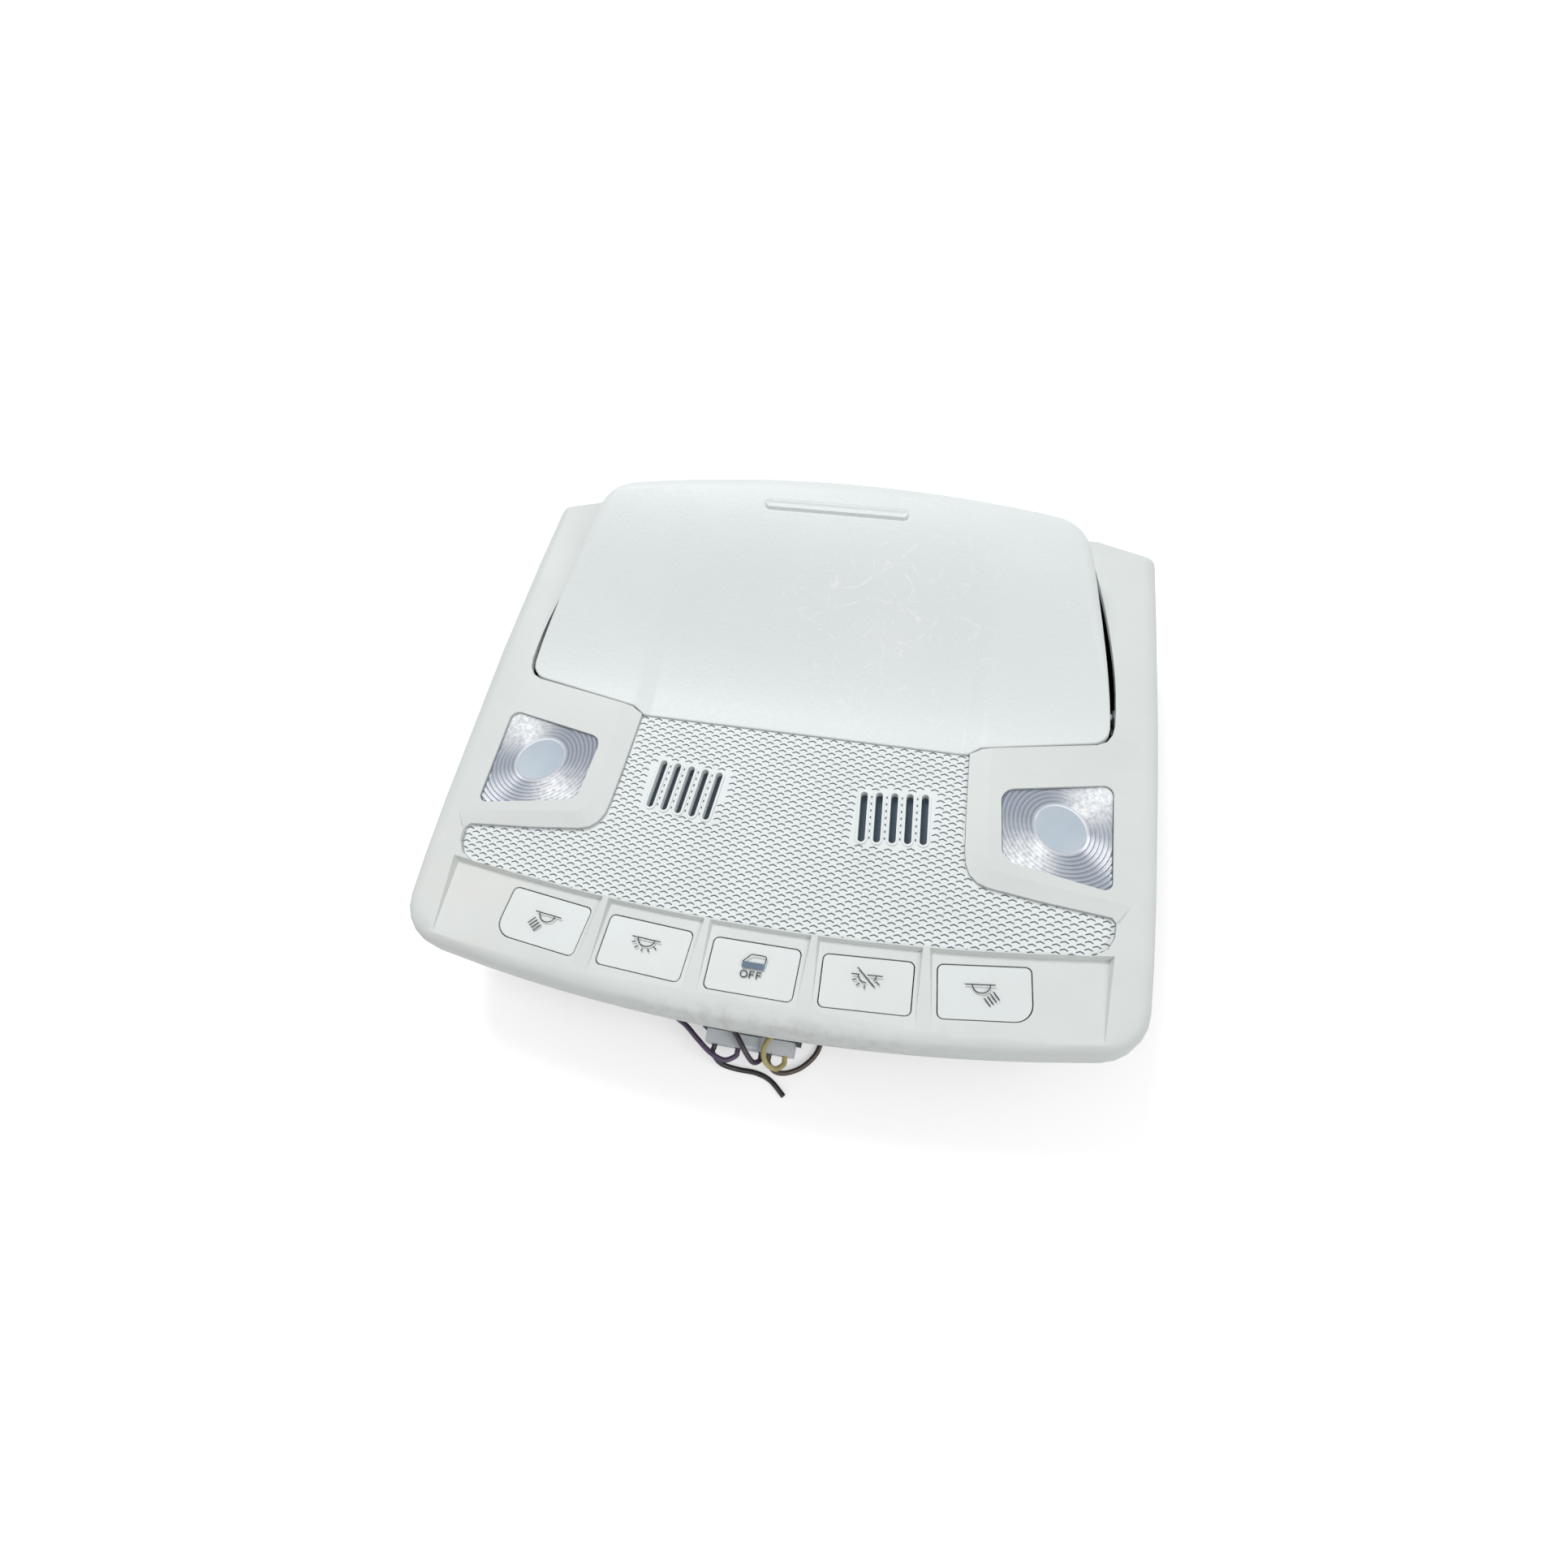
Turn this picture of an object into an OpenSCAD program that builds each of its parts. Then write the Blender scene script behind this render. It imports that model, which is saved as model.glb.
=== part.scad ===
// Car overhead console: a dome and map lamp unit with five push buttons and a swing-out
// sunglasses holder. It lies on its back, with the visible face up.
// Face coordinates are used throughout: x to the right, y towards the holder's free edge,
// z = 0 on the flat face. Each sub-part is then moved so that the origin is at the middle
// of the footprint, on the back.

/* [Bezel] */
// Width of the bezel across its widest place
bezel_w = 225.2; // [216:0.2:232]
// Front edge of the bezel on the centre line
front_y = -25; // [-28:0.5:-24]
// Radius of the curved front edge
front_r = 560; // [450:10:800]
// Corner radius at the front
corner_r = 15; // [12:0.5:18]
// How far each side draws in from front to rear
side_draw = 7.2; // [5:0.2:10]
// Wall of the bezel
skin = 2.5; // [2:0.1:2.8]
// Radius of the rolled outer edge
edge_roll = 5; // [4:0.5:6]
// Depth of the outer skirt below the face
skirt_depth = 10; // [9:0.5:14]
// How far the rear tips drop below the face
tip_drop = 2.2; // [1:0.2:4.6]
// Height of the face above the resting plane
face_height = 44; // [44:1:60]

/* [Holder door] */
// Largest half width of the door
door_half = 94.8; // [92:0.1:95]
// Rear edge of the door on the centre line
door_rear = 156; // [154:0.5:158]
// Front edge of the door on the centre line
door_front = 69.8; // [69.7:0.1:70.6]
// Rise of the door's surface from front to rear
door_rise = 18.8; // [14:0.2:22]
// Wall of the door
door_wall = 2.2; // [1.8:0.1:2.4]
// Depth of the shallow channel down the middle
channel_depth = 1.8; // [1:0.1:2]
// Radius of the door's rolled rear and side edges
door_roll = 5.5; // [4:0.5:6.5]
// Length of the raised finger grip
grip_len = 48; // [30:1:70]

/* [Hinge] */
// Distance of the hinge axis from the face origin
hinge_y = 90; // [89.5:0.1:90.5]
// Depth of the hinge axis below the face
hinge_depth = 5; // [4.8:0.1:5.2]
// Radius of the hinge pins
pin_r = 1.5; // [1.2:0.05:1.7]
// Running clearance of pins and damper shaft, on the radius
run_gap = 0.05; // [0.03:0.01:0.08]
// Radius of the door's hinge bosses
boss_r = 3.3; // [3:0.1:3.5]

/* [Buttons] */
// Width of one button
button_w = 26.2; // [22:0.1:27]
// Length of one button
button_l = 15.6; // [14:0.1:16]
// Spacing of the buttons along their arc
button_pitch = 33.4; // [32.5:0.1:34]
// Radius of the arc that the buttons fan out on
fan_r = 540; // [500:10:700]
// Gap around each button
button_gap = 0.35; // [0.3:0.05:0.5]
// Travel of each button
button_travel = 1.2; // [0.8:0.1:1.5]
// Depth of the scoops at the rear of the buttons
scoop_depth = 1.6; // [1:0.1:1.9]

/* [Grille and lamps] */
// Depth of the grille panel below the face
grille_sink = 2; // [1.6:0.1:2.3]
// Length of the microphone slots
slot_len = 16.5; // [12:0.5:18]
// Width of the microphone slots
slot_w = 2.2; // [1.6:0.1:2.6]
// Spacing of the microphone slots
slot_pitch = 4.7; // [4.2:0.1:5]
// Gap between a lens and its window
lens_gap = 0.25; // [0.2:0.05:0.4]
// How far the lenses lie below the face
lens_sink = 0.8; // [0.5:0.1:1.2]
// Spacing of the lens rings
ring_pitch = 1.2; // [1.1:0.05:1.6]

/* [Housings] */
// Wall of the lamp module housing
module_wall = 2; // [1.6:0.1:2.4]
// Depth of the lamp module floor below the face
module_depth = 30; // [29:0.5:31]
// Wall of the holder housing
bin_wall = 2.2; // [1.8:0.1:2.6]
// Radius of the roof fixing holes
roof_hole_r = 2.1; // [1.6:0.1:2.6]
// Distance between the roof fixing holes across the unit
roof_hole_dx = 160; // [150:1:164]
// Distance between the roof fixing holes along the unit
roof_hole_dy = 128; // [120:1:130]

/* [Hidden] */

// Faces that only cut through reach past the solid by this much
past = 1;
half_w = bezel_w / 2;
door_flare = 0.08;
skirt_low = -5.8;
rear_y = door_rear + door_flare * (door_rise - door_roll - skirt_low);
mid_y = (front_y + rear_y) / 2;
floor_z = -face_height;
hinge_z = -hinge_depth;
rim_z = -7.2;
tab = 2;
bore_fn = 48;

ivory = [0.86, 0.86, 0.84];
cool_white = [0.84, 0.87, 0.86];
grille_white = [0.85, 0.88, 0.88];
charcoal = [0.16, 0.16, 0.17];
steel = [0.72, 0.73, 0.75];

module place() {
    translate([0, -mid_y, face_height]) children();
}

module both_sides() {
    children();
    mirror([1, 0, 0]) children();
}

// A tube of n sides that follows a list of points
function unit(v) = v / norm(v);
function along(p, i) = unit(p[min(i + 1, len(p) - 1)] - p[max(i - 1, 0)]);
function across(t) = unit(cross(t, abs(t[2]) < 0.8 ? [0, 0, 1] : [1, 0, 0]));
function carried(p) = [for (i = 0, s = across(along(p, 0)); i < len(p);
    i = i + 1, s = i < len(p) ? unit(s - (s * along(p, i)) * along(p, i)) : s) s];
function curve_point(a, b, c, d, t) = 0.5 * (2 * b + (c - a) * t
    + (2 * a - 5 * b + 4 * c - d) * t * t + (3 * b - a - 3 * c + d) * t * t * t);
function smooth(p, n) = concat([for (i = [0:len(p) - 2], k = [0:n - 1])
    curve_point(p[max(i - 1, 0)], p[i], p[i + 1], p[min(i + 2, len(p) - 1)], k / n)],
    [p[len(p) - 1]]);

module tube(path, r, sides) {
    n = len(path);
    side = carried(path);
    points = [for (i = [0:n - 1]) let (t = along(path, i), s = side[i], u = cross(t, s))
        for (k = [0:sides - 1]) path[i] + r * (cos(360 * k / sides) * s
            + sin(360 * k / sides) * u)];
    skin_faces = [for (i = [0:n - 2], k = [0:sides - 1]) let (m = (k + 1) % sides)
        each [[i * sides + k, (i + 1) * sides + k, (i + 1) * sides + m],
            [i * sides + k, (i + 1) * sides + m, i * sides + m]]];
    ends = [[for (k = [0:sides - 1]) k],
        [for (k = [0:sides - 1]) n * sides - 1 - k]];
    polyhedron(points, concat(skin_faces, ends));
}

// A screw of pan head, standing head down
module screw(head_r, head_h, shank_r, shank_l) {
    difference() {
        cylinder(r = head_r, h = head_h, $fn = bore_fn);
        translate([0, 0, -past]) cylinder(r = head_r * 0.42, h = head_h * 0.5 + past, $fn = 6);
    }
    translate([0, 0, head_h]) cylinder(r = shank_r, h = shank_l, $fn = bore_fn);
}

// Bezel outline

corner_cx = half_w - corner_r;
lean = asin(corner_cx / (front_r - corner_r));
corner_cy = front_y + front_r - (front_r - corner_r) * cos(lean);
tip_y = 148.6;
tip_r = 4;
rear_edge_x = 86;
rear_edge_y = 157.2;

function front_arc(x) = front_y + front_r - sqrt(front_r * front_r - x * x);
function side_x(y) = half_w - side_draw * pow(max(0, y - 12) / 140, 1.4);
right_edge = concat(
    [for (x = [12:12:84]) [x, front_arc(x)]],
    [for (a = [0:5]) let (t = -90 + lean + (90 - lean) * a / 5)
        [corner_cx + corner_r * cos(t), corner_cy + corner_r * sin(t)]],
    [for (y = [12:19:146]) [side_x(y), y]],
    [for (a = [5:23:74]) [side_x(tip_y) - tip_r + tip_r * cos(a), tip_y + tip_r * sin(a)]],
    [[rear_edge_x, rear_edge_y]]);
last = len(right_edge) - 1;
bezel_points = concat([[0, front_y]], right_edge,
    [for (i = [0:last]) [-right_edge[last - i][0], right_edge[last - i][1]]]);

module bezel_outline() {
    polygon(bezel_points);
}

// The bezel's body: rings of the outline that shrink towards the face, hulled together
drop_from = 72;
function drop_at(y) = tip_drop * pow(max(0, y - drop_from) / (tip_y - drop_from), 2);
outline_n = len(bezel_points);
function edge_normal(i) = let (d = bezel_points[(i + 1) % outline_n]
    - bezel_points[(i + outline_n - 1) % outline_n]) unit([-d[1], d[0]]);
edge_normals = [for (i = [0:outline_n - 1]) edge_normal(i)];
function ring(inset, z, drop) = [for (i = [0:outline_n - 1])
    let (p = bezel_points[i] + inset * edge_normals[i]) [p[0], p[1], z - drop * drop_at(p[1])]];
module bezel_form(inset, sink, foot) {
    turns = [90, 66, 44, 24, 0];
    n = outline_n;
    points = concat([for (a = turns) each ring(inset + (edge_roll - inset * 0.5) * (1 - sin(a)),
        -sink - edge_roll * (1 - cos(a)), 1)], ring(inset, -foot, 0));
    hull() polyhedron(points, [for (k = [0:len(turns)]) for (i = [1:n - 2])
        [k * n, k * n + i, k * n + i + 1]]);
}

// Openings in the bezel

grille_rear = 69.35;
hole_half_w = door_half + 1.3;
function hole_x(y) = hole_half_w - 12.4 * pow(max(0, y - 85) / 65, 1.7);
pod_rear = [[53.5, grille_rear - 0.5], [53.5, 71.3], [57.5, 71.9],
    [hole_half_w - 5, 77.5], [hole_half_w - 2, 79], [hole_half_w - 0.5, 81.6], [hole_half_w, 84.6]];
hole_side = [for (y = [90:6:160]) [hole_x(y), y]];
hole_half = concat(pod_rear, hole_side, [[hole_x(160), 175]]);
module mirrored_polygon(half) {
    n = len(half) - 1;
    polygon(concat(half, [for (i = [0:n]) [-half[n - i][0], half[n - i][1]]]));
}
module door_hole() {
    mirrored_polygon(hole_half);
}

pod_inner = [[53.5, grille_rear], [54.9, 50], [56, 38]];
pod_bend = [for (a = [0:4]) let (t = a / 4) (1 - t) * (1 - t) * [56, 38]
    + 2 * t * (1 - t) * [56.6, 28.4] + t * t * [64, 27.4]];
pod_front = [[80, 25.5], [90, 24.7], [99.6, 23.8]];
grille_tip = [[100.9, 22.4], [100.8, 18], [99, 14], [95, 11.4]];
function grille_front_y(x) = 5 + x * x / 1330;
grille_front = [for (x = [84:-12:0]) [x, grille_front_y(x)]];
grille_half = concat(pod_inner, pod_bend, pod_front, grille_tip, grille_front);
module grille_outline() {
    mirrored_polygon(grille_half);
}

// Points of a polygon whose corners, [x, y, radius], are rounded by arcs
function heading(d) = atan2(d[1], d[0]) - 90;
function rounded(p) = [for (i = [0:len(p) - 1]) let (n = len(p),
    a = [p[(i + n - 1) % n][0], p[(i + n - 1) % n][1]], b = [p[i][0], p[i][1]],
    c = [p[(i + 1) % n][0], p[(i + 1) % n][1]], r = p[i][2],
    u = unit(a - b), w = unit(c - b), h = acos(u * w) / 2,
    m = b + unit(u + w) * r / sin(h), t0 = heading(b - a), t1 = heading(c - b),
    turn = t1 - t0 < 0 ? t1 - t0 + 360 : t1 - t0)
    for (k = [0:6]) m + r * [cos(t0 + turn * k / 6), sin(t0 + turn * k / 6)]];

// Lens window, as a rounded quadrilateral
lens_corners = [[64.3, 58.9, 4], [67, 36.3, 5], [99.2, 30.9, 2.5], [97.2, 64.9, 3]];
module lens_window() {
    polygon(rounded(lens_corners));
}

// Button places on their arc
button_names = [-2, -1, 0, 1, 2];
button_y0 = -7.75;
fan_step = asin(button_pitch / fan_r);
module at_button(k) {
    translate([0, button_y0 + fan_r]) rotate(k * fan_step) translate([0, -fan_r])
        children();
}
outer_corner_r = 5;
button_corner_r = 1.6;
// k is the button's number, grow is added all round
module button_outline(k, grow) {
    x = button_w / 2;
    y = button_l / 2;
    r = button_corner_r;
    at_button(k) offset(delta = grow) polygon(rounded([
        [-x, -y, k == -2 ? outer_corner_r : r], [x, -y, k == 2 ? outer_corner_r : r],
        [x, y, r], [-x, y, r]]));
}

// Scoops around the buttons, whose floor slopes down towards the rear
scoop_front = -17;
scoop_rear = 3.2;
scoop_slope = atan(scoop_depth / (scoop_rear - scoop_front));
pillar_w = 3.4;
module above_slope(sink) {
    translate([0, scoop_front, -sink]) rotate([-scoop_slope, 0, 0])
        translate([-half_w, -40, 0]) cube([bezel_w, 100, 20]);
}
module scoop_outline(k) {
    reach = abs(k) == 2 ? 38 : button_pitch - pillar_w;
    inner = (button_pitch - pillar_w) / 2;
    lo = k == -2 ? -reach : -inner;
    hi = k == 2 ? reach : inner;
    at_button(k) polygon([[lo, -11], [hi, -11], [hi, button_l / 2 + 2.3],
        [lo, button_l / 2 + 2.3]]);
}
module scoop_field() {
    intersection() {
        union() for (k = button_names) scoop_outline(k);
        translate([-103.5, -30]) square([207, 60]);
        translate([0, scoop_rear + 1.2 + 660]) circle(r = 660, $fn = 360);
    }
}

// Sloped band round each lamp pod
crease_drop = 1.1;
band_edge = [[51.9, 73], [53.3, 50], [54.4, 37.6], [55.9, 31], [59.5, 26.1], [65.6, 25.2],
    [80, 23.7], [90, 22.9], [101.5, 21.9]];
band_crease = [[60.2, 74], [61, 50], [62, 39], [62.8, 35.5], [64.2, 33.3], [67.5, 32.2],
    [80, 30.9], [90, 29.8], [104.5, 27.6]];
module pod_band() {
    n = len(band_edge);
    points = [for (i = [0:n - 1]) each [
        [band_edge[i][0], band_edge[i][1], 2], [band_edge[i][0], band_edge[i][1], -crease_drop],
        [band_crease[i][0], band_crease[i][1], 0], [band_crease[i][0], band_crease[i][1], 2]]];
    walls = [for (i = [0:n - 2], k = [0:3]) let (a = 4 * i, m = (k + 1) % 4)
        each [[a + 4 + m, a + m, a + k], [a + 4 + k, a + 4 + m, a + k]]];
    polyhedron(points, concat(walls, [[0, 1, 2, 3], [for (k = [3:-1:0]) 4 * (n - 1) + k]]));
}

// Fixing bosses of the bezel
boss_bore_r = 1.5;
boss_out_r = 3.2;
module_bosses = [[half_w - 10.3, 12], [half_w - 10.3, 57]];
bin_bosses = [[half_w - 13.8, 73], [half_w - 15.6, 139]];
ear_x = half_w - 15.6;
ear_w = 2.5;

deck_low = -4.2;
button_zone_front = -17.6;

module bezel() {
    color(ivory) place() difference() {
        union() {
            difference() {
                bezel_form(0, 0, skirt_depth);
                bezel_form(skin, skin, skirt_depth + past);
                translate([0, 0, -skirt_depth - past]) linear_extrude(2 * skirt_depth)
                    door_hole();
            }
            // Deck that thickens the face behind the buttons
            translate([0, 0, deck_low]) linear_extrude(-skin - deck_low + 0.4)
                intersection() {
                    offset(delta = -skin - 1.5) bezel_outline();
                    translate([-92, button_zone_front]) square([184, 24]);
                    translate([0, -19.6 + 560]) circle(r = 560, $fn = 360);
                }
            both_sides() {
                for (p = concat(module_bosses, bin_bosses)) translate([p[0], p[1], rim_z])
                    cylinder(r = boss_out_r, h = -drop_at(p[1])
                        - rim_z - skin / 2, $fn = bore_fn);
                // Ears that hold the hinge pins
                translate([ear_x, hinge_y, hinge_z]) {
                    rotate([0, 90, 0]) cylinder(r = 4.4, h = ear_w, $fn = bore_fn);
                    translate([0, -4.4, 0]) cube([ear_w, 8.8, hinge_depth - skin / 2]);
                }
            }
        }
        translate([0, 0, -skirt_depth - past]) linear_extrude(2 * skirt_depth)
            grille_outline();
        both_sides() {
            translate([0, 0, -skirt_depth]) linear_extrude(2 * skirt_depth) lens_window();
            pod_band();
            door_sweep();
            translate([ear_x - past, hinge_y, hinge_z]) rotate([0, 90, 0])
                cylinder(r = pin_r, h = ear_w + 2 * past, $fn = bore_fn);
            for (p = concat(module_bosses, bin_bosses)) translate([p[0], p[1], rim_z - past])
                cylinder(r = boss_bore_r, h = past + 3.4, $fn = bore_fn);
        }
        intersection() {
            translate([0, 0, -5]) linear_extrude(10) scoop_field();
            above_slope(0);
        }
        for (k = button_names) translate([0, 0, -skirt_depth])
            linear_extrude(2 * skirt_depth) button_outline(k, button_gap);
    }
}

// Space that the door's front edge sweeps through in front of its hinge, as cones about the
// hinge axis
sweep_gap = 0.35;
sweep_x0 = 53.2;
sweep_bend = 56.5;
sweep_x1 = hole_half_w - 5.35;
inner_sweep_r = 20.95;
corner_r0 = 12;
corner_r1 = 7;
function outer_front(x) = door_front + 2 + (x - sweep_bend) * 0.181;
function sweep_r(x) = norm([hinge_y - outer_front(x), hinge_depth]) + sweep_gap;
module sweep_cone(x0, x1, r0, r1) {
    intersection() {
        translate([x0, hinge_y, hinge_z]) rotate([0, 90, 0])
            cylinder(r1 = r0, r2 = r1, h = x1 - x0, $fn = 96);
        translate([x0 - past, hinge_y - 40, hinge_z - 40]) cube([x1 - x0 + 2 * past, 36.3, 80]);
    }
}
module door_sweep() {
    sweep_cone(sweep_x0, sweep_bend, inner_sweep_r, sweep_r(sweep_bend));
    sweep_cone(sweep_bend - past, sweep_x1, sweep_r(sweep_bend), sweep_r(sweep_x1));
    sweep_cone(sweep_x1 - 0.6, hole_half_w - 0.7, corner_r0, corner_r1);
}
centre_sweep_r = norm([hinge_y - door_front, hinge_depth - channel_depth]) + 0.28;

// Grille panel: a flange behind the bezel, a raised field and ten slots
flange = 1.8;
slot_x = 33.3;
slot_y = 45.4;
slot_lean = 5.2;
slot_rim = 0.7;
module stadium(length, width, grow) {
    x = width / 2 + grow;
    y = length / 2 + grow;
    polygon(rounded([[-x, -y, x - 0.01], [x, -y, x - 0.01], [x, y, x - 0.01],
        [-x, y, x - 0.01]]));
}
module boss_room() {
    both_sides() for (p = module_bosses) translate([p[0], p[1], -10])
        cylinder(r = boss_out_r + 0.3, h = 20, $fn = bore_fn);
}
module slot_row(grow) {
    for (i = [-2:2]) translate([slot_x, slot_y]) rotate(slot_lean)
        translate([i * slot_pitch, 0]) stadium(slot_len, slot_w, grow);
}

panel_low = -4.5;
module grille_panel() {
    color(grille_white) place() difference() {
        union() {
            translate([0, 0, panel_low]) linear_extrude(-skin - panel_low)
                intersection() {
                    offset(delta = flange) grille_outline();
                    translate([-half_w, 6.9]) square([bezel_w, grille_rear - 6.9 - 0.2]);
                }
            translate([0, 0, -skin - 0.2]) linear_extrude(skin + 0.2 - grille_sink)
                offset(delta = -0.15) grille_outline();
            both_sides() translate([0, 0, -grille_sink - 0.2]) linear_extrude(0.55)
                slot_row(slot_rim);
        }
        both_sides() translate([0, 0, panel_low - past]) linear_extrude(10) slot_row(0);
        boss_room();
        translate([-60, hinge_y, hinge_z]) rotate([0, 90, 0])
            cylinder(r = centre_sweep_r, h = 120, $fn = 96);
    }
}

module slot_cloth() {
    color([0.12, 0.14, 0.17]) place() translate([slot_x, slot_y, panel_low - 0.5])
        rotate(slot_lean) translate([-13, -10.5, 0]) cube([26, 21, 0.5]);
}
module slot_cloth_right() { slot_cloth(); }
module slot_cloth_left() { mirror([1, 0, 0]) slot_cloth(); }

// Lenses with ring optics
lens_thick = 2;
lens_tilt = 37;
lens_turn = 50;
lens_c = [83, 48.8];
disc_r = 6.9;
ring_count = 8;
ring_depth = 0.3;
module ring_cutter(r) {
    translate([lens_c[0], lens_c[1], -lens_sink]) rotate(lens_turn)
        rotate([lens_tilt, 0, 0]) translate([0, 0, -50]) difference() {
            cylinder(r = r + 0.3, h = 100, $fn = bore_fn);
            translate([0, 0, -past]) cylinder(r = r - 0.3, h = 102, $fn = bore_fn);
        }
}
module lens() {
    color([0.72, 0.76, 0.84]) place() difference() {
        union() {
            translate([0, 0, -skin - 0.1]) linear_extrude(skin + 0.1 - lens_sink)
                offset(delta = -lens_gap) lens_window();
            translate([0, 0, -skin - lens_thick + 0.5]) linear_extrude(lens_thick - 0.5)
                offset(delta = 1.6) lens_window();
        }
        boss_room();
        intersection() {
            translate([60, 25, -lens_sink - ring_depth]) cube([50, 50, 5]);
            for (i = [0:ring_count]) ring_cutter(disc_r + i * ring_pitch);
        }
    }
}
module lens_right() { lens(); }
module lens_left() { mirror([1, 0, 0]) lens(); }

// Reflector bowl below each lens
lamp_c = [81, 47.6];
plate_top = -skin - lens_thick + 0.5;
bowl_top = plate_top - 1;
bowl_low = -19;
bowl_r = 12.4;
bowl_wall = 1.2;
throat_r = 6;
function bowl_z(r) = bowl_low + (bowl_top - bowl_low) * pow((r - throat_r) / (bowl_r - throat_r), 2);
module reflector() {
    steps = [for (i = [0:8]) throat_r + (bowl_r - throat_r) * i / 8];
    color([0.85, 0.86, 0.88]) place() {
        difference() {
            translate([0, 0, bowl_top]) linear_extrude(plate_top - bowl_top)
                offset(delta = 1.2) lens_window();
            translate([lamp_c[0], lamp_c[1], bowl_top - past])
                cylinder(r = bowl_r, h = 4, $fn = bore_fn);
        }
        translate(lamp_c) rotate_extrude($fn = 64) polygon(concat(
            [for (r = steps) [r, bowl_z(r)]],
            [[bowl_r + bowl_wall, bowl_top]],
            [for (i = [8:-1:0]) [steps[i] + bowl_wall, bowl_z(steps[i]) - bowl_wall * 0.6]]));
    }
}
module reflector_right() { reflector(); }
module reflector_left() { mirror([1, 0, 0]) reflector(); }

// Wedge base bulb and its twist-lock holder
bulb_r = 4.9;
bulb_top = -7;
bulb_low = -22;
holder_top = -20.2;
holder_r = 7.2;
module bulb() {
    color([0.8, 0.85, 0.9]) place() translate(lamp_c) {
        rotate_extrude($fn = bore_fn) polygon(concat([[0, bulb_low], [bulb_r, bulb_low]],
            [for (a = [0:15:90]) [bulb_r * cos(a), bulb_top - bulb_r + bulb_r * sin(a)]]));
        translate([-4, -1.2, bulb_low - 4]) cube([8, 2.4, 4.01]);
    }
}
module bulb_right() { bulb(); }
module bulb_left() { mirror([1, 0, 0]) bulb(); }

module bulb_holder() {
    color([0.2, 0.2, 0.21]) place() translate(lamp_c) difference() {
        union() {
            translate([0, 0, -module_depth - 2]) cylinder(r = 9.6, h = 2, $fn = bore_fn);
            translate([0, 0, -module_depth - 0.01])
                cylinder(r = holder_r, h = module_depth + holder_top, $fn = bore_fn);
            translate([-1.6, -7, -module_depth - 8]) cube([3.2, 14, 6.01]);
        }
        translate([0, 0, bulb_low]) cylinder(r = bulb_r + 0.3, h = 10, $fn = bore_fn);
        translate([-4.2, -1.4, bulb_low - 4.2]) cube([8.4, 2.8, 6]);
    }
}
module bulb_holder_right() { bulb_holder(); }
module bulb_holder_left() { mirror([1, 0, 0]) bulb_holder(); }

// Push buttons: a cap, a skirt with two lugs and a plunger over the switch dome
board_top = -20;
board_thick = 1.6;
dome_h = 2;
button_sink = 0.18;
module button(k) {
    color(ivory) place() {
        difference() {
            translate([0, 0, -4.4]) linear_extrude(6) button_outline(k, 0);
            above_slope(button_sink);
            translate([0, 0, -4.4 - past]) linear_extrude(past + 2) button_outline(k, -1.4);
        }
        difference() {
            translate([0, 0, -7.5]) linear_extrude(3.2) button_outline(k, 0);
            translate([0, 0, -8]) linear_extrude(4) button_outline(k, -1.4);
        }
        at_button(k) {
            for (s = [-1, 1]) translate([s * (button_w / 2 + 0.4) - 0.8, -3, -5.7])
                cube([1.6, 6, 1.2]);
            translate([-2.5, -2.5, board_top + dome_h + 0.1])
                cube([5, 5, -board_top - dome_h - 2.5]);
            translate([-0.7, -button_l / 2 + 0.7, -7]) cube([1.4, button_l - 1.4, 4.7]);
        }
    }
}
module button_map_left() { button(-2); }
module button_dome_on() { button(-1); }
module button_door_off() { button(0); }
module button_lamps_off() { button(1); }
module button_map_right() { button(2); }

module switch_dome(k) {
    color([0.75, 0.75, 0.72]) place() at_button(k) translate([0, 0, board_top])
        rotate_extrude($fn = bore_fn) polygon([[2.4, 0], [4, 0], [3.8, 0.6], [2.6, dome_h],
            [0, dome_h], [0, dome_h - 0.7], [1.9, dome_h - 0.7]]);
}
module dome_map_left() { switch_dome(-2); }
module dome_dome_on() { switch_dome(-1); }
module dome_door_off() { switch_dome(0); }
module dome_lamps_off() { switch_dome(1); }
module dome_map_right() { switch_dome(2); }

// Circuit board with its larger components
board_half = 86;
module board_outline() {
    difference() {
        intersection() {
            translate([-board_half, -14.5]) square([2 * board_half, 69.5]);
            offset(delta = -module_wall - 0.4) module_outline();
        }
        both_sides() translate([59, 23]) square([40, 50]);
        both_sides() for (p = board_posts) translate(p) circle(r = 1.7, $fn = 24);
    }
}
board_posts = [[50, 50], [50, 16], [80, 14]];
module circuit_board() {
    color([0.12, 0.3, 0.18]) place() {
        translate([0, 0, board_top - board_thick]) linear_extrude(board_thick) board_outline();
        translate([-8, 20, board_top - 0.01]) cube([12, 12, 1.9]);
        translate([10, 30, board_top - 0.01]) cube([15.5, 13, 9]);
        translate([-24, 14, board_top - 0.01]) cube([8, 6, 1.6]);
        for (x = [-14, -2, 8]) translate([x, 48, board_top - 0.01])
            cylinder(r = 3, h = 7, $fn = bore_fn);
    }
}

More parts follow.
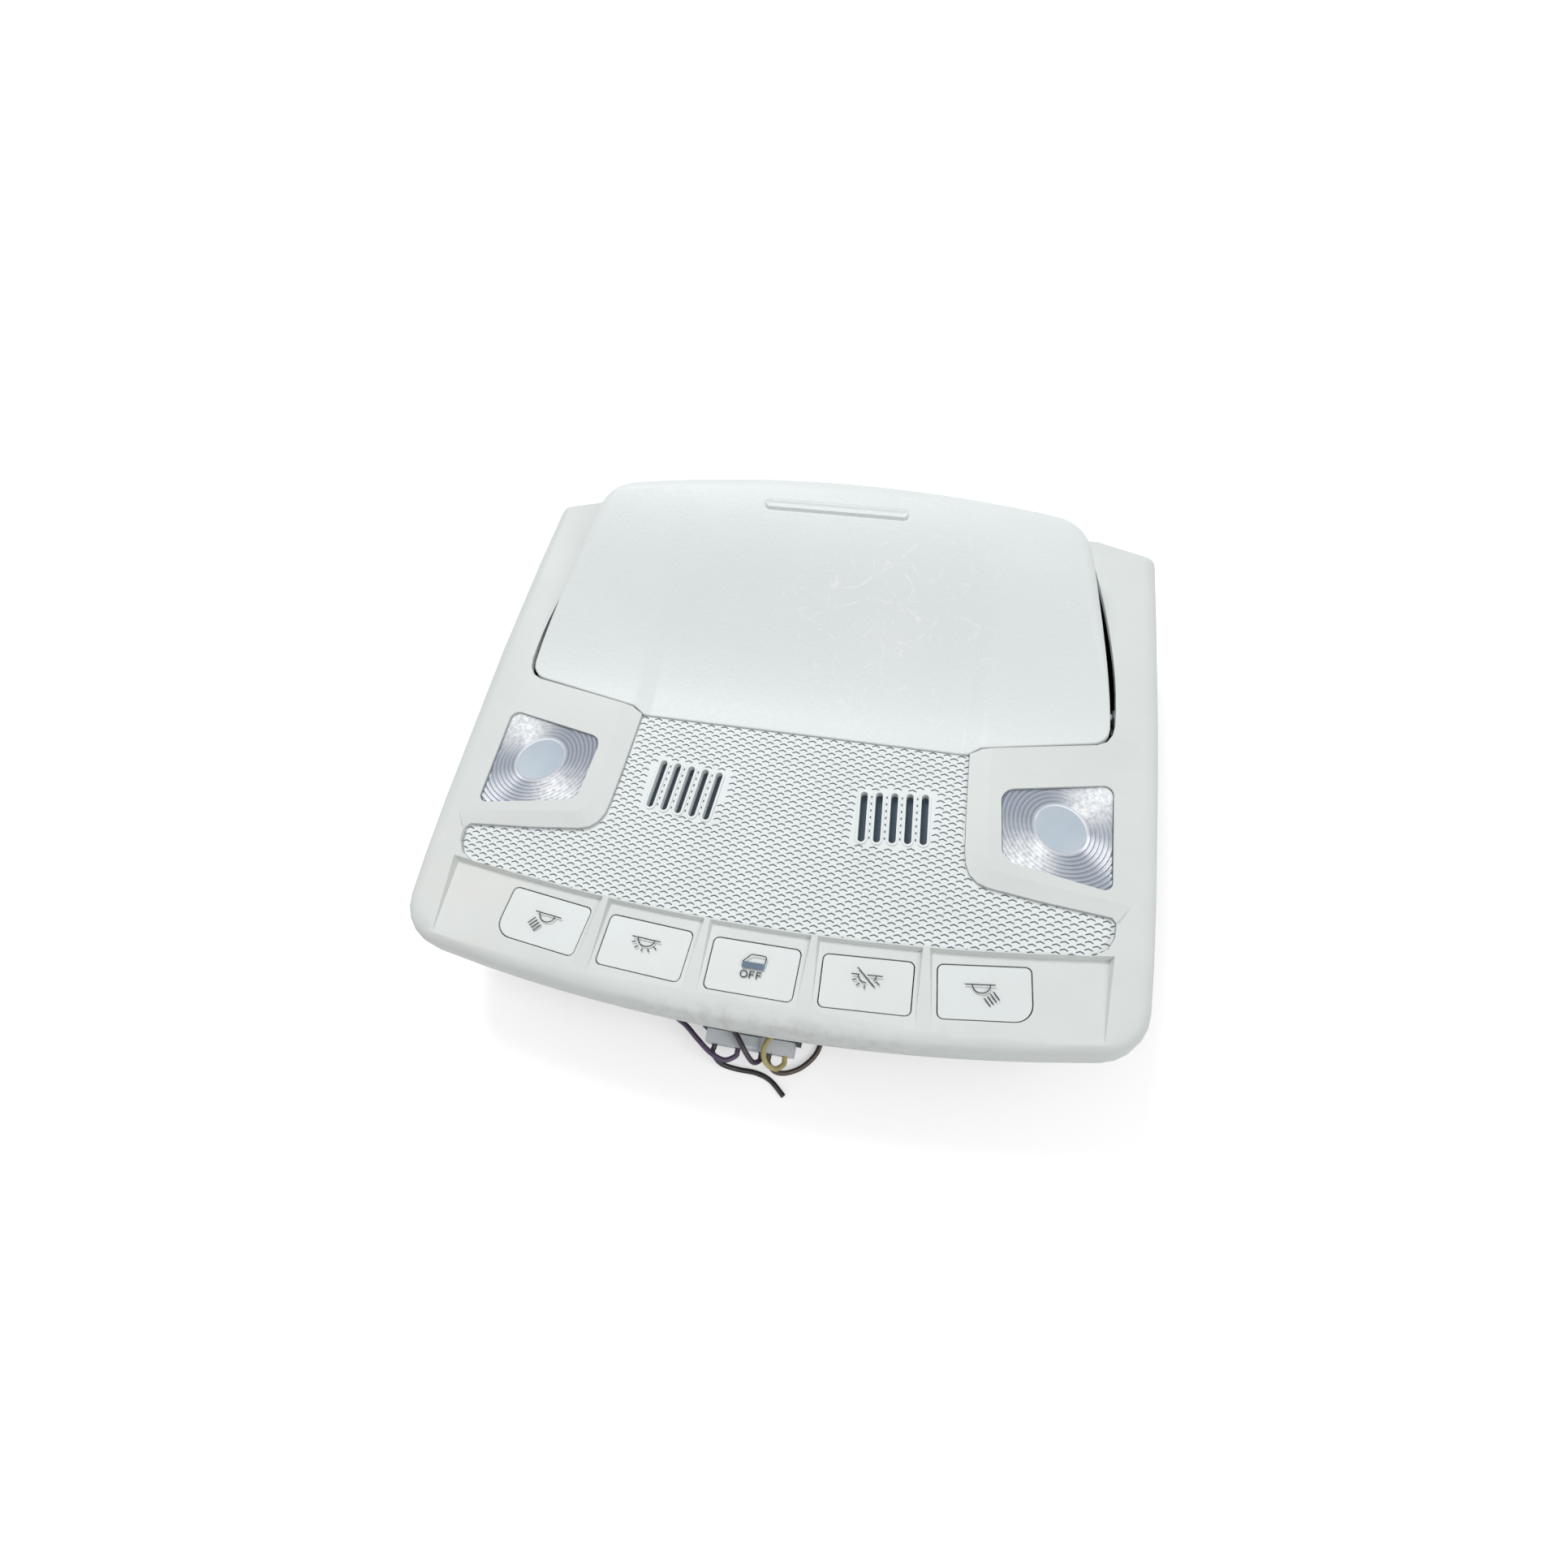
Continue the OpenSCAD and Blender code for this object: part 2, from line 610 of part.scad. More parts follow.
// Header on the underside of the board, with its pins, facing forwards
plug_x0 = -16;
plug_x1 = 12;
plug_low = -37;
plug_high = -31;
shroud = 1.4;
header_front = -22;
header_back = -7;
board_low = board_top - board_thick;
pin_count = 10;
module board_header() {
    color([0.23, 0.24, 0.25]) place() {
        difference() {
            union() {
                translate([plug_x0 - shroud, header_front, plug_low - shroud])
                    cube([plug_x1 - plug_x0 + 2 * shroud, header_back - header_front,
                        plug_high - plug_low + 2 * shroud]);
                translate([plug_x0 + 2, -13, plug_high]) cube([plug_x1 - plug_x0 - 4,
                    header_back + 13, board_low - plug_high]);
            }
            translate([plug_x0 - 0.2, header_front - past, plug_low - 0.2])
                cube([plug_x1 - plug_x0 + 0.4, header_back - header_front - 2 + past,
                    plug_high - plug_low + 0.4]);
        }
        for (i = [0:pin_count - 1], z = [plug_low + 1.7, plug_high - 1.7])
            translate([plug_x0 + 2.5 + i * 2.54, header_back - 2.2, z]) rotate([90, 0, 0])
                cylinder(r = 0.32, h = 5, $fn = 16);
    }
}

// Microphones in rubber boots behind the slots
mic_r = 4.9;
module microphone() {
    color([0.55, 0.56, 0.58]) place() translate([slot_x, slot_y, board_top])
        cylinder(r = mic_r, h = 5, $fn = bore_fn);
}
module microphone_right() { microphone(); }
module microphone_left() { mirror([1, 0, 0]) microphone(); }

boot_top = panel_low - 0.5;
module acoustic_boot() {
    color(charcoal) place() translate([slot_x, slot_y, board_top]) difference() {
        union() {
            cylinder(r = mic_r + 1.5, h = boot_top - board_top, $fn = bore_fn);
            translate([0, 0, boot_top - board_top - 2]) cylinder(r = 10, h = 2, $fn = bore_fn);
        }
        translate([0, 0, -past]) cylinder(r = mic_r + 0.02, h = 5.02 + past, $fn = bore_fn);
        translate([0, 0, 4]) cylinder(r = mic_r - 1, h = 20, $fn = bore_fn);
    }
}
module acoustic_boot_right() { acoustic_boot(); }
module acoustic_boot_left() { mirror([1, 0, 0]) acoustic_boot(); }

// Lamp module housing
module_rear = 66;
module_x = 97;
function module_front_y(x) = -17.5 + x * x / 1120;
module module_outline() {
    polygon(concat([for (x = [-90:15:90]) [x, module_front_y(x)]],
        [[module_x, 0], [module_x, module_rear], [-module_x, module_rear],
            [-module_x, 0]]));
}
tower_r = 7;
button_clear = -9.5;
module_tab_r = 4.4;
module module_housing() {
    inner_low = -module_depth + module_wall;
    color(charcoal) place() difference() {
        union() {
            difference() {
                translate([0, 0, -module_depth]) linear_extrude(module_depth + rim_z)
                    module_outline();
                translate([0, 0, inner_low]) linear_extrude(module_depth)
                    offset(delta = -module_wall) module_outline();
                // Opening for the header
                translate([plug_x0 - shroud - 0.4, -30, -module_depth - past])
                    cube([plug_x1 - plug_x0 + 2 * shroud + 0.8, 24, 16]);
            }
            // Posts under the board
            both_sides() for (p = board_posts) translate([p[0], p[1], inner_low - 0.01]) {
                cylinder(r = 3.4, h = board_low - inner_low + 0.01, $fn = bore_fn);
                cylinder(r = 1.6, h = board_low - inner_low + 3.4, $fn = bore_fn);
            }
            both_sides() {
                for (p = module_bosses) translate([0, 0, rim_z - tab]) linear_extrude(tab) {
                    translate(p) circle(r = module_tab_r, $fn = bore_fn);
                    translate([module_x - past, p[1] - module_tab_r])
                        square([p[0] - module_x + past, 2 * module_tab_r]);
                }
                // Towers that carry the front roof fixings
                translate([roof_hole_dx / 2, 0, floor_z])
                    cylinder(r = tower_r, h = -module_depth - floor_z + 0.01, $fn = bore_fn);
                for (a = [45:90:315]) translate([roof_hole_dx / 2, 0, floor_z + 3])
                    rotate(a) translate([0, -0.8, 0])
                        cube([tower_r + 5, 1.6, -module_depth - floor_z - 3 + 0.01]);
                // Ribs that take the spring clips
                translate([clip_x, clip_y - rib_t / 2, -module_depth - rib_h])
                    cube([rib_w, rib_t, rib_h + 0.01]);
            }
            // Ribs across the back
            for (x = [-45, 30]) translate([x, 12, -module_depth - 2.5])
                cube([1.6, 46, 2.51]);
        }
        // Room for the buttons' skirts above the front wall
        translate([-86, -25, button_clear]) cube([172, 27, 6]);
        both_sides() {
            translate([lamp_c[0], lamp_c[1], -module_depth - past])
                cylinder(r = holder_r + 0.2, h = 10, $fn = bore_fn);
            translate([roof_hole_dx / 2, 0, floor_z - past])
                cylinder(r = roof_hole_r, h = roof_hole_deep + past, $fn = bore_fn);
            for (p = module_bosses) translate([p[0], p[1], rim_z - tab - past])
                cylinder(r = boss_bore_r + 0.2, h = tab + 2 * past, $fn = bore_fn);
        }
    }
}
roof_hole_deep = 10;
clip_x = 46;
clip_y = 34;
rib_t = 2.4;
rib_w = 12;
rib_h = 9;

screw_head_r = 2.9;
screw_head_h = 1.8;
module screws_at(places) {
    color(steel) place() both_sides() for (p = places)
        translate([p[0], p[1], rim_z - tab - screw_head_h])
            screw(screw_head_r, screw_head_h, boss_bore_r - run_gap, tab + 3);
}
module module_screws() { screws_at(module_bosses); }
module bin_screws() { screws_at(bin_bosses); }

// Folded spring steel clips over the ribs
clip_t = 0.8;
module mounting_clips() {
    gap = 0.05;
    low = -module_depth - rib_h;
    color(steel) place() both_sides() translate([clip_x + 1, clip_y, 0]) {
        translate([0, 0, low - clip_t - gap])
            linear_extrude(clip_t) translate([0, -rib_t / 2 - gap - clip_t])
                square([rib_w - 2, rib_t + 2 * (gap + clip_t)]);
        for (s = [-1, 1]) {
            y = s * (rib_t / 2 + gap + clip_t / 2);
            translate([0, y - clip_t / 2, low - clip_t - gap])
                cube([rib_w - 2, clip_t, rib_h - 0.5]);
            translate([0, y, low + rib_h - 1.8 - clip_t]) rotate([s * 42, 0, 0])
                translate([0, -clip_t / 2, -6]) cube([rib_w - 2, clip_t, 6]);
        }
    }
}

// Housing behind the holder door
bin_front = 67;
bin_neck = 94.5;
bin_notch = 79.5;
tub_r = 56;
bin_in_r = 60;
bin_side_gap = 6.4;
arm_end = 147.4;
corner_x = hole_half_w - 6;
corner_sweep_r = 14;
bin_half = concat([[bin_neck, bin_front], [bin_neck, bin_notch],
    [hole_x(80) + bin_side_gap, bin_notch]],
    [for (y = [92:8:156]) [hole_x(y) + bin_side_gap, y]]);
module inside_skirt() {
    intersection() {
        offset(delta = -skin - 2.2) bezel_outline();
        translate([-half_w, 0]) square([bezel_w, arm_end]);
    }
    translate([-80, 100]) square([160, 75]);
}
module bin_outline() {
    intersection() {
        mirrored_polygon(bin_half);
        inside_skirt();
    }
}
// Space in front of the hinge, and round it up to a radius
module hinge_space(r) {
    translate([-half_w, hinge_y, hinge_z]) rotate([0, 90, 0])
        cylinder(r = r, h = bezel_w, $fn = 96);
    translate([-half_w, 0, floor_z - 20]) cube([bezel_w, hinge_y, 80]);
}
module bin_housing() {
    color([0.1, 0.1, 0.11]) place() difference() {
        union() {
            difference() {
                intersection() {
                    translate([0, 0, floor_z]) linear_extrude(rim_z - floor_z) bin_outline();
                    hinge_space(bin_in_r + bin_wall);
                }
                intersection() {
                    translate([0, 0, floor_z + bin_wall]) linear_extrude(face_height)
                        offset(delta = -bin_wall) bin_outline();
                    hinge_space(bin_in_r);
                }
            }
            both_sides() {
                for (p = bin_bosses) translate([0, 0, rim_z - tab]) linear_extrude(tab)
                    difference() {
                        intersection() {
                            union() {
                                translate(p) circle(r = 4, $fn = 32);
                                translate([p[0] - 5, p[1] - 3]) square([5, 3]);
                            }
                            inside_skirt();
                        }
                        offset(delta = -bin_wall) bin_outline();
                    }
                translate([roof_hole_dx / 2, roof_hole_dy, floor_z])
                    cylinder(r = 6, h = 8, $fn = bore_fn);
            }
            for (x = [-60:30:60]) translate([x - 0.8, bin_front + 1, floor_z + bin_wall - 0.01])
                cube([1.6, 12, 10]);
        }
        both_sides() {
            // Room for the front corners of the door as it swings
            translate([corner_x, hinge_y, hinge_z]) rotate([0, 90, 0])
                cylinder(r = corner_sweep_r, h = 6, $fn = 96);
            translate([roof_hole_dx / 2, roof_hole_dy, floor_z - past])
                cylinder(r = roof_hole_r, h = 6.5 + past, $fn = bore_fn);
            for (p = bin_bosses) translate([p[0], p[1], rim_z - tab - past])
                cylinder(r = boss_bore_r + 0.2, h = tab + 2 * past, $fn = bore_fn);
        }
    }
}

// Door surface

function ease(t) = let (u = min(1, max(0, t))) u * u * (3 - 2 * u);
function round_in(d, r) = d >= r ? 0 : r - sqrt(max(0, r * r - (r - d) * (r - d)));
function front_of(x) = let (a = abs(x)) a < 53.3 ? door_front
    : a < 56.5 ? door_front + (a - 53.3) * 0.625 : outer_front(a);
function rear_of(x) = door_rear - x * x / 860;
function half_at(y) = door_half - 14.6 * pow(max(0, y - 80) / 70, 1.5);
function channel(x, y) = let (a = abs(x)) channel_depth * (1 - ease((y - 72) / 66))
    * (a <= 51 ? 1 : a >= 56.5 ? 0 : (56.5 - a) / 5.5);
function face_at(x, y) = door_rise * ease((y - 75) / 77) - channel(x, y)
    - 0.8 * ease((y - 90) / 50) * pow(x / 85, 2);
function roll_at(y) = 0.8 + (door_roll - 0.8) * ease((y - 85) / 45);
function low_of(x, y) = let (lip = min(face_at(x, y), face_at(90, y)) - lip_depth)
    min(lip, lip - (lip - skirt_low) * ease((y - 98) / 18));
lip_depth = 3;
rear_corner_r = 9;
front_corner_r = 5;
edge_gaps = [0, 0.5, 1.5, 3, 5.2, 8.5];
row_gaps = [0, 0.4, 1.4, 3, 5.4, 8.6, 13, 19, 26, 33, 40, 47, 54, 61, 68, 76, 79, 79.6, 80];
door_cols = 13;
door_rows = len(row_gaps) + 2;

// One point of the door: column j from -13 to 13, row i from 0 at the rear, inner by t
function door_point(j, i, t) = let (
    s = sign(j), a = abs(j),
    wall_i = i < 2,
    last_i = i == door_rows - 1,
    g = row_gaps[max(0, i - 1 > len(row_gaps) - 1 ? len(row_gaps) - 1 : i - 1)],
    v = 1 - g / 80,
    side_y = 78.5 + 70 * v,
    half = half_at(side_y) - t - round_in(g * 0.9, rear_corner_r)
        - round_in((80 - g) * 0.9, front_corner_r),
    fixed = [0, 17, 34, 51, 56.5],
    near = half - edge_gaps[5],
    x0 = a <= 4 ? fixed[a] : a == 5 ? (56.5 + near) / 2
        : half - edge_gaps[max(0, 11 - a)],
    y0 = front_of(x0) + t + (rear_of(x0) - front_of(x0) - 2 * t) * v,
    r = max(0.15, roll_at(y0) - t),
    ds = half - x0, dr = g, df = 80 - g,
    q = min(r, norm([max(0, r - ds), max(0, r - dr)])),
    top = face_at(x0, y0) - t - (r - sqrt(max(0, r * r - q * q)))
        - round_in(df, 0.8) * (t > 0 ? 0 : 1),
    low = low_of(x0, y0),
    down_side = a == 13 ? 1 : a == 12 ? 0.5 : 0,
    down_rear = i == 0 ? 1 : 0,
    down_front = last_i ? 1 : 0,
    down = max(down_side, down_rear, down_front),
    z = top + (min(top, low) - top) * down,
    push = door_flare * (top - z),
    push_x = a == 13 ? push : a == 12 ? push / 2 : 0,
    push_y = i == 0 ? push : last_i ? -push : 0)
    [s * (x0 + push_x), y0 + push_y, z];

module door_shell() {
    cols = 2 * door_cols + 1;
    rows = door_rows;
    total = cols * rows;
    points = concat(
        [for (i = [0:rows - 1], j = [-door_cols:door_cols]) door_point(j, i, 0)],
        [for (i = [0:rows - 1], j = [-door_cols:door_cols]) door_point(j, i, door_wall)]);
    outer = [for (i = [0:rows - 2], j = [0:cols - 2]) let (a = i * cols + j)
        each [[a, a + 1, a + cols + 1], [a, a + cols + 1, a + cols]]];
    inner = [for (f = outer) [f[2] + total, f[1] + total, f[0] + total]];
    ring = concat([for (j = [0:cols - 2]) j], [for (i = [0:rows - 2]) i * cols + cols - 1],
        [for (j = [cols - 1:-1:1]) (rows - 1) * cols + j],
        [for (i = [rows - 1:-1:1]) i * cols]);
    n = len(ring);
    rim = [for (k = [0:n - 1]) let (a = ring[k], b = ring[(k + 1) % n])
        each [[b, a, a + total], [b, a + total, b + total]]];
    polyhedron(points, concat(outer, inner, rim));
}

grip_y = 143;
grip_w = 3.3;
door_boss_x = door_half - 12.8;
door_boss_w = 6.5;
tub_half = 74;
post_places = [[tub_half - 12, 103], [tub_half - 12, 134]];
tub_roof = -2.2;
module door_panel() {
    color(cool_white) place() difference() {
        union() {
            door_shell();
            // Raised finger grip
            translate([0, grip_y, face_at(0, grip_y) - 1])
                rotate([atan((face_at(0, grip_y + 1) - face_at(0, grip_y - 1)) / 2), 0, 0])
                    linear_extrude(1.75) rotate(90) stadium(grip_len, grip_w, 0);
            both_sides() {
                translate([door_boss_x, hinge_y, hinge_z]) {
                    rotate([0, 90, 0]) cylinder(r = boss_r, h = door_boss_w, $fn = bore_fn);
                    translate([0, -2.4, 0]) cube([door_boss_w, 4.8, hinge_depth]);
                }
                for (p = post_places) translate([p[0], p[1], tub_roof])
                    cylinder(r = 3, h = face_at(p[0], p[1]) - tub_roof - door_wall / 2,
                        $fn = bore_fn);
            }
        }
        both_sides() {
            translate([door_boss_x - past, hinge_y, hinge_z]) rotate([0, 90, 0])
                cylinder(r = pin_r + run_gap, h = door_boss_w + 2 * past, $fn = bore_fn);
            for (p = post_places) translate([p[0], p[1], tub_roof - past])
                cylinder(r = boss_bore_r, h = 3.4 + past, $fn = bore_fn);
        }
    }
}

// Tub that hangs behind the door and turns with it
tub_front = 95;
tub_wall = 1.6;
tub_low = -30;
module tub_section(inset) {
    intersection() {
        translate([-tub_half + inset, tub_front + inset, tub_low - (inset > 0 ? past : 0)])
            cube([2 * (tub_half - inset), 70, tub_roof - inset - tub_low
                + (inset > 0 ? past : 0)]);
        translate([-half_w, hinge_y, hinge_z]) rotate([0, 90, 0])
            cylinder(r = tub_r - inset, h = bezel_w, $fn = 96);
    }
}
module bin_tub() {
    color([0.14, 0.14, 0.15]) place() difference() {
        union() {
            difference() {
                tub_section(0);
                tub_section(tub_wall);
            }
            // Stiffening ribs on the outside of the side walls
            both_sides() for (y = [104, 118, 132]) translate([tub_half - 0.01, y, tub_low + 2])
                cube([2, 1.4, tub_roof - tub_low - 4]);
        }
        both_sides() for (p = post_places) translate([p[0], p[1], tub_roof - 10])
            cylinder(r = boss_bore_r + 0.2, h = 20, $fn = bore_fn);
    }
}
module tub_screws() {
    color(steel) place() both_sides() for (p = post_places)
        translate([p[0], p[1], tub_roof - tub_wall - screw_head_h])
            screw(screw_head_r, screw_head_h, boss_bore_r - run_gap, tub_wall + 3);
}

// Soft mat on the inside of the tub, with holes over the screws
module bin_liner() {
    color([0.22, 0.22, 0.24]) place() translate([0, 0, tub_roof - tub_wall - 1])
        linear_extrude(1) difference() {
            translate([-tub_half + tub_wall + 0.4, tub_front + tub_wall + 0.4])
                square([2 * (tub_half - tub_wall - 0.4), 46]);
            both_sides() for (p = post_places) translate(p) circle(r = 3.4, $fn = 32);
        }
}

// Hinge pins, spring and damper
pin_x0 = door_boss_x + 1;
module hinge_pin() {
    color(steel) place() translate([0, hinge_y, hinge_z]) rotate([0, 90, 0]) {
        translate([0, 0, pin_x0]) cylinder(r = pin_r, h = ear_x + ear_w - pin_x0, $fn = bore_fn);
        translate([0, 0, ear_x + ear_w]) cylinder(r = 1.95, h = 0.8, $fn = bore_fn);
    }
}
module hinge_pin_right() { hinge_pin(); }
module hinge_pin_left() { mirror([1, 0, 0]) hinge_pin(); }

coil_r = 2.4;
coil_wire_r = 0.4;
coil_turns = 5;
coil_x0 = door_boss_x + 7.6;
coil_x1 = ear_x - 0.8;
coil_path = concat([[coil_x0, 102, -coil_r]],
    [for (i = [0:12 * coil_turns]) let (a = -90 + 360 * i / 12)
        [coil_x0 + (coil_x1 - coil_x0) * i / (12 * coil_turns), hinge_y + coil_r * cos(a),
            coil_r * sin(a)]],
    [[coil_x1, 82, -coil_r]]);
module hinge_spring() {
    color(steel) place() translate([0, 0, hinge_z]) tube(coil_path, coil_wire_r, 6);
}

damper_x0 = door_boss_x - 6.8;
damper_x1 = door_boss_x - 0.4;
damper_r = 3.6;
rotor_r = 1.9;
module damper_body() {
    color(charcoal) place() mirror([1, 0, 0]) difference() {
        union() {
            translate([damper_x0, hinge_y, hinge_z]) rotate([0, 90, 0])
                cylinder(r = damper_r, h = damper_x1 - damper_x0, $fn = bore_fn);
            translate([damper_x0, hinge_y - 3, floor_z + bin_wall])
                cube([damper_x1 - damper_x0, 6, hinge_z - floor_z - bin_wall]);
            translate([damper_x0 - 3, hinge_y - 5, floor_z + bin_wall])
                cube([damper_x1 - damper_x0 + 6, 10, 2]);
        }
        translate([damper_x0 + 1.2, hinge_y, hinge_z]) rotate([0, 90, 0])
            cylinder(r = rotor_r + run_gap, h = 10, $fn = bore_fn);
    }
}
module damper_rotor() {
    color(cool_white) place() mirror([1, 0, 0]) translate([0, hinge_y, hinge_z])
        rotate([0, 90, 0]) translate([0, 0, damper_x0 + 1.5])
            cylinder(r = rotor_r, h = door_boss_x - damper_x0 - 1.5, $fn = bore_fn);
}

// Push-push latch: a body on the housing floor and a striker under the tub
striker_y = 138.5;
striker_t = 1.5;
striker_low = -36.6;
module latch_body() {
    color(charcoal) place() difference() {
        intersection() {
            translate([-11, 129, floor_z + bin_wall]) cube([22, 14, 9.8]);
            hinge_space(bin_in_r - 0.05);
            translate([-half_w, hinge_y, hinge_z]) rotate([0, 90, 0])
                cylinder(r = bin_in_r - 0.05, h = bezel_w, $fn = 96);
        }
        translate([-4.2, 136.6, -39.4]) cube([8.4, 20, 20]);
    }
}
module latch_striker() {
    color(cool_white) place() {
        translate([-3, striker_y, striker_low]) cube([6, striker_t, tub_low - striker_low]);
        translate([-3, striker_y - 0.4, striker_low + 0.7]) rotate([0, 90, 0])
            cylinder(r = 0.9, h = 6, $fn = 24);
    }
}

// Harness plug and the five cut wires that hang from it
plug_front = -26;
plug_back = -11;
module harness_plug() {
    color([0.88, 0.9, 0.92]) place() difference() {
        union() {
            translate([plug_x0, plug_front, plug_low]) cube([plug_x1 - plug_x0,
                plug_back - plug_front, plug_high - plug_low]);
            translate([-5, plug_front + 0.6, plug_high - 0.01]) cube([6, 3, 1]);
        }
        translate([plug_x0 + 1.2, plug_back - 4, plug_low + 1])
            cube([plug_x1 - plug_x0 - 2.4, 4 + past, plug_high - plug_low - 2]);
        for (i = [0:pin_count - 1], z = [plug_low + 1.7, plug_high - 1.7])
            let (wired = z < -34 && (i == 0 || i == 3 || i == 6 || i == 7 || i == 9),
                w = wired ? 2.1 : 1.6)
                translate([plug_x0 + 2.45 + i * 2.54 - w / 2, plug_front - past, z - w / 2])
                    cube([w, past + 1.3, w]);
    }
}

wire_r = 0.85;
wire_z = plug_low + 1.7;
function way_in(i) = [for (y = [1.1, -0.9]) [plug_x0 + 2.45 + i * 2.54, plug_front + y, wire_z]];
violet_route = concat(way_in(3), [[-6.3, -28.5, -35.4], [-9.5, -30.4, -34.5],
    [-14, -29, -33], [-19, -25.5, -32], [-24, -21.8, -32], [-32, -18, -33.5],
    [-40, -15, -35]]);
black_route = concat(way_in(0), [[-13.8, -28.6, -36.2], [-11, -31, -39.5],
    [-6, -31.5, -42.2], [0, -31.5, -43], [5, -33, -43.1], [10, -37, -43.1]]);
grey_route = concat(way_in(6), [[1.6, -28.6, -34.8], [0.2, -29.8, -31.8],
    [-2, -27.8, -28.4], [-5, -24, -27], [-8.5, -20.8, -26.6], [-12, -19.6, -25.5],
    [-18, -19, -23]]);
yellow_route = concat(way_in(9), [[9.3, -28.4, -35.2], [7.2, -30.3, -34],
    [4.6, -29.6, -31], [3.4, -26.8, -28.4], [4.2, -23.2, -27.2], [7, -20.4, -27],
    [11, -19.4, -26.5], [16, -19.4, -26]]);
brown_route = concat(way_in(7), [[4.3, -28.6, -36.4], [6.5, -30.5, -38.8], [10, -30, -41],
    [14.5, -27, -42.5], [18, -22, -43], [19, -16, -43]]);
module wire(route, tint) {
    color(tint) place() tube(smooth(route, 2), wire_r, 8);
}
module wire_violet() { wire(violet_route, [0.35, 0.25, 0.4]); }
module wire_black() { wire(black_route, [0.08, 0.08, 0.09]); }
module wire_grey() { wire(grey_route, [0.2, 0.18, 0.22]); }
module wire_yellow() { wire(yellow_route, [0.72, 0.66, 0.35]); }
module wire_brown() { wire(brown_route, [0.3, 0.25, 0.2]); }

bezel();
grille_panel();
lens_left();
lens_right();
reflector_left();
reflector_right();
bulb_left();
bulb_right();
bulb_holder_left();
bulb_holder_right();
button_map_left();
button_dome_on();
button_door_off();
button_lamps_off();
button_map_right();
dome_map_left();
dome_dome_on();
dome_door_off();
dome_lamps_off();
dome_map_right();
circuit_board();
board_header();
microphone_left();
microphone_right();
acoustic_boot_left();
acoustic_boot_right();
slot_cloth_left();
slot_cloth_right();
module_housing();
module_screws();
mounting_clips();
bin_housing();
bin_screws();
door_panel();
bin_tub();
tub_screws();
bin_liner();
hinge_pin_left();
hinge_pin_right();
hinge_spring();
damper_body();
damper_rotor();
latch_body();
latch_striker();
harness_plug();
wire_violet();
wire_black();
wire_grey();
wire_yellow();
wire_brown();
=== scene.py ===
"""Looks of the car dome light: camera, wires, surfaces, printed symbols and materials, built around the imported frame.

All lengths are written in millimetres of the face plan (x right, y rearward, z up from the face) and turned into the
row frame in metres by here(). The face plan's origin lies MID in front of the row frame's middle and FACE above its
base.
"""

import math

import bmesh
import bpy
import numpy as np
from mathutils import Matrix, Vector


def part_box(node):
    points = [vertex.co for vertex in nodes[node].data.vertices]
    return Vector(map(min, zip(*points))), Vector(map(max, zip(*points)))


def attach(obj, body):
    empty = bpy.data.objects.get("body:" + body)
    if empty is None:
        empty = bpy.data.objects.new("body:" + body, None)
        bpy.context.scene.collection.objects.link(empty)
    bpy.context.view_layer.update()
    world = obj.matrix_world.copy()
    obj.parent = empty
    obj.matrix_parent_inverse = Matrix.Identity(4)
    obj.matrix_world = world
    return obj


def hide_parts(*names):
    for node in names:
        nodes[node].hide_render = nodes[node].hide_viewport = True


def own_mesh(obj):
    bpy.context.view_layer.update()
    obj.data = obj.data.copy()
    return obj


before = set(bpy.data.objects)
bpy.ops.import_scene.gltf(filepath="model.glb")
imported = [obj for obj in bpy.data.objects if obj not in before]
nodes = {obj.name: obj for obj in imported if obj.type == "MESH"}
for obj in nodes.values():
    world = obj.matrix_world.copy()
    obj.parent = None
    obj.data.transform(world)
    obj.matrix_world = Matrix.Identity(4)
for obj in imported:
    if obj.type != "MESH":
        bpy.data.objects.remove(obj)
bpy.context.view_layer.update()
FACE = 44.0
MID = 66.264
MM = 0.001


def here(points):
    """Face plan points in mm as an array of row frame points in metres."""
    p = np.asarray(points, float).reshape(-1, 3)
    return (p - [0.0, MID, -FACE]) * MM


def colour(code):
    """An sRGB hex code as a linear RGBA colour."""
    c = [int(code[i : i + 2], 16) / 255 for i in (1, 3, 5)]
    return [v / 12.92 if v <= 0.04045 else ((v + 0.055) / 1.055) ** 2.4 for v in c] + [1.0]


def smooth_curve(route, n):
    """A Catmull-Rom curve through the route's points, with n steps between two of them."""
    p = np.asarray(route, float)
    p = np.vstack([p[0], p, p[-1]])
    out = []
    for a, b, c, d in zip(p[:-3], p[1:-2], p[2:-1], p[3:]):
        for t in np.arange(n) / n:
            second, third = 2 * a - 5 * b + 4 * c - d, 3 * b - a - 3 * c + d
            out.append(0.5 * (2 * b + (c - a) * t + second * t**2 + third * t**3))
    out.append(p[-1])
    return np.array(out)


# Camera at the photograph's viewing point
RIGHT = (0.9752, 0.18974, -0.11397)
DOWN = (0.1297, -0.90712, -0.40038)
AHEAD = (-0.17935, 0.37567, -0.90923)
camera_data = bpy.data.cameras.new("camera")
camera_data.sensor_width = 36.0
camera_data.lens = 36.0 * 1300 / 1932
camera_data.clip_start = 0.01
camera = bpy.data.objects.new("camera", camera_data)
bpy.context.collection.objects.link(camera)
axes = np.array([RIGHT, -np.array(DOWN), -np.array(AHEAD)]).T
square, upper = np.linalg.qr(axes)
pose = np.eye(4)
pose[:3, :3] = square * np.sign(np.diag(upper))
pose[:3, 3] = here([57.2, -72.7, 299.6])[0]
camera.matrix_world = Matrix(pose.tolist())
bpy.context.scene.camera = camera


# Wires of the harness
PLUG_FRONT = -26.0
WIRE_Z = -35.3
FIRST_CONTACT = -16 + 2.45
CONTACT_PITCH = 2.54


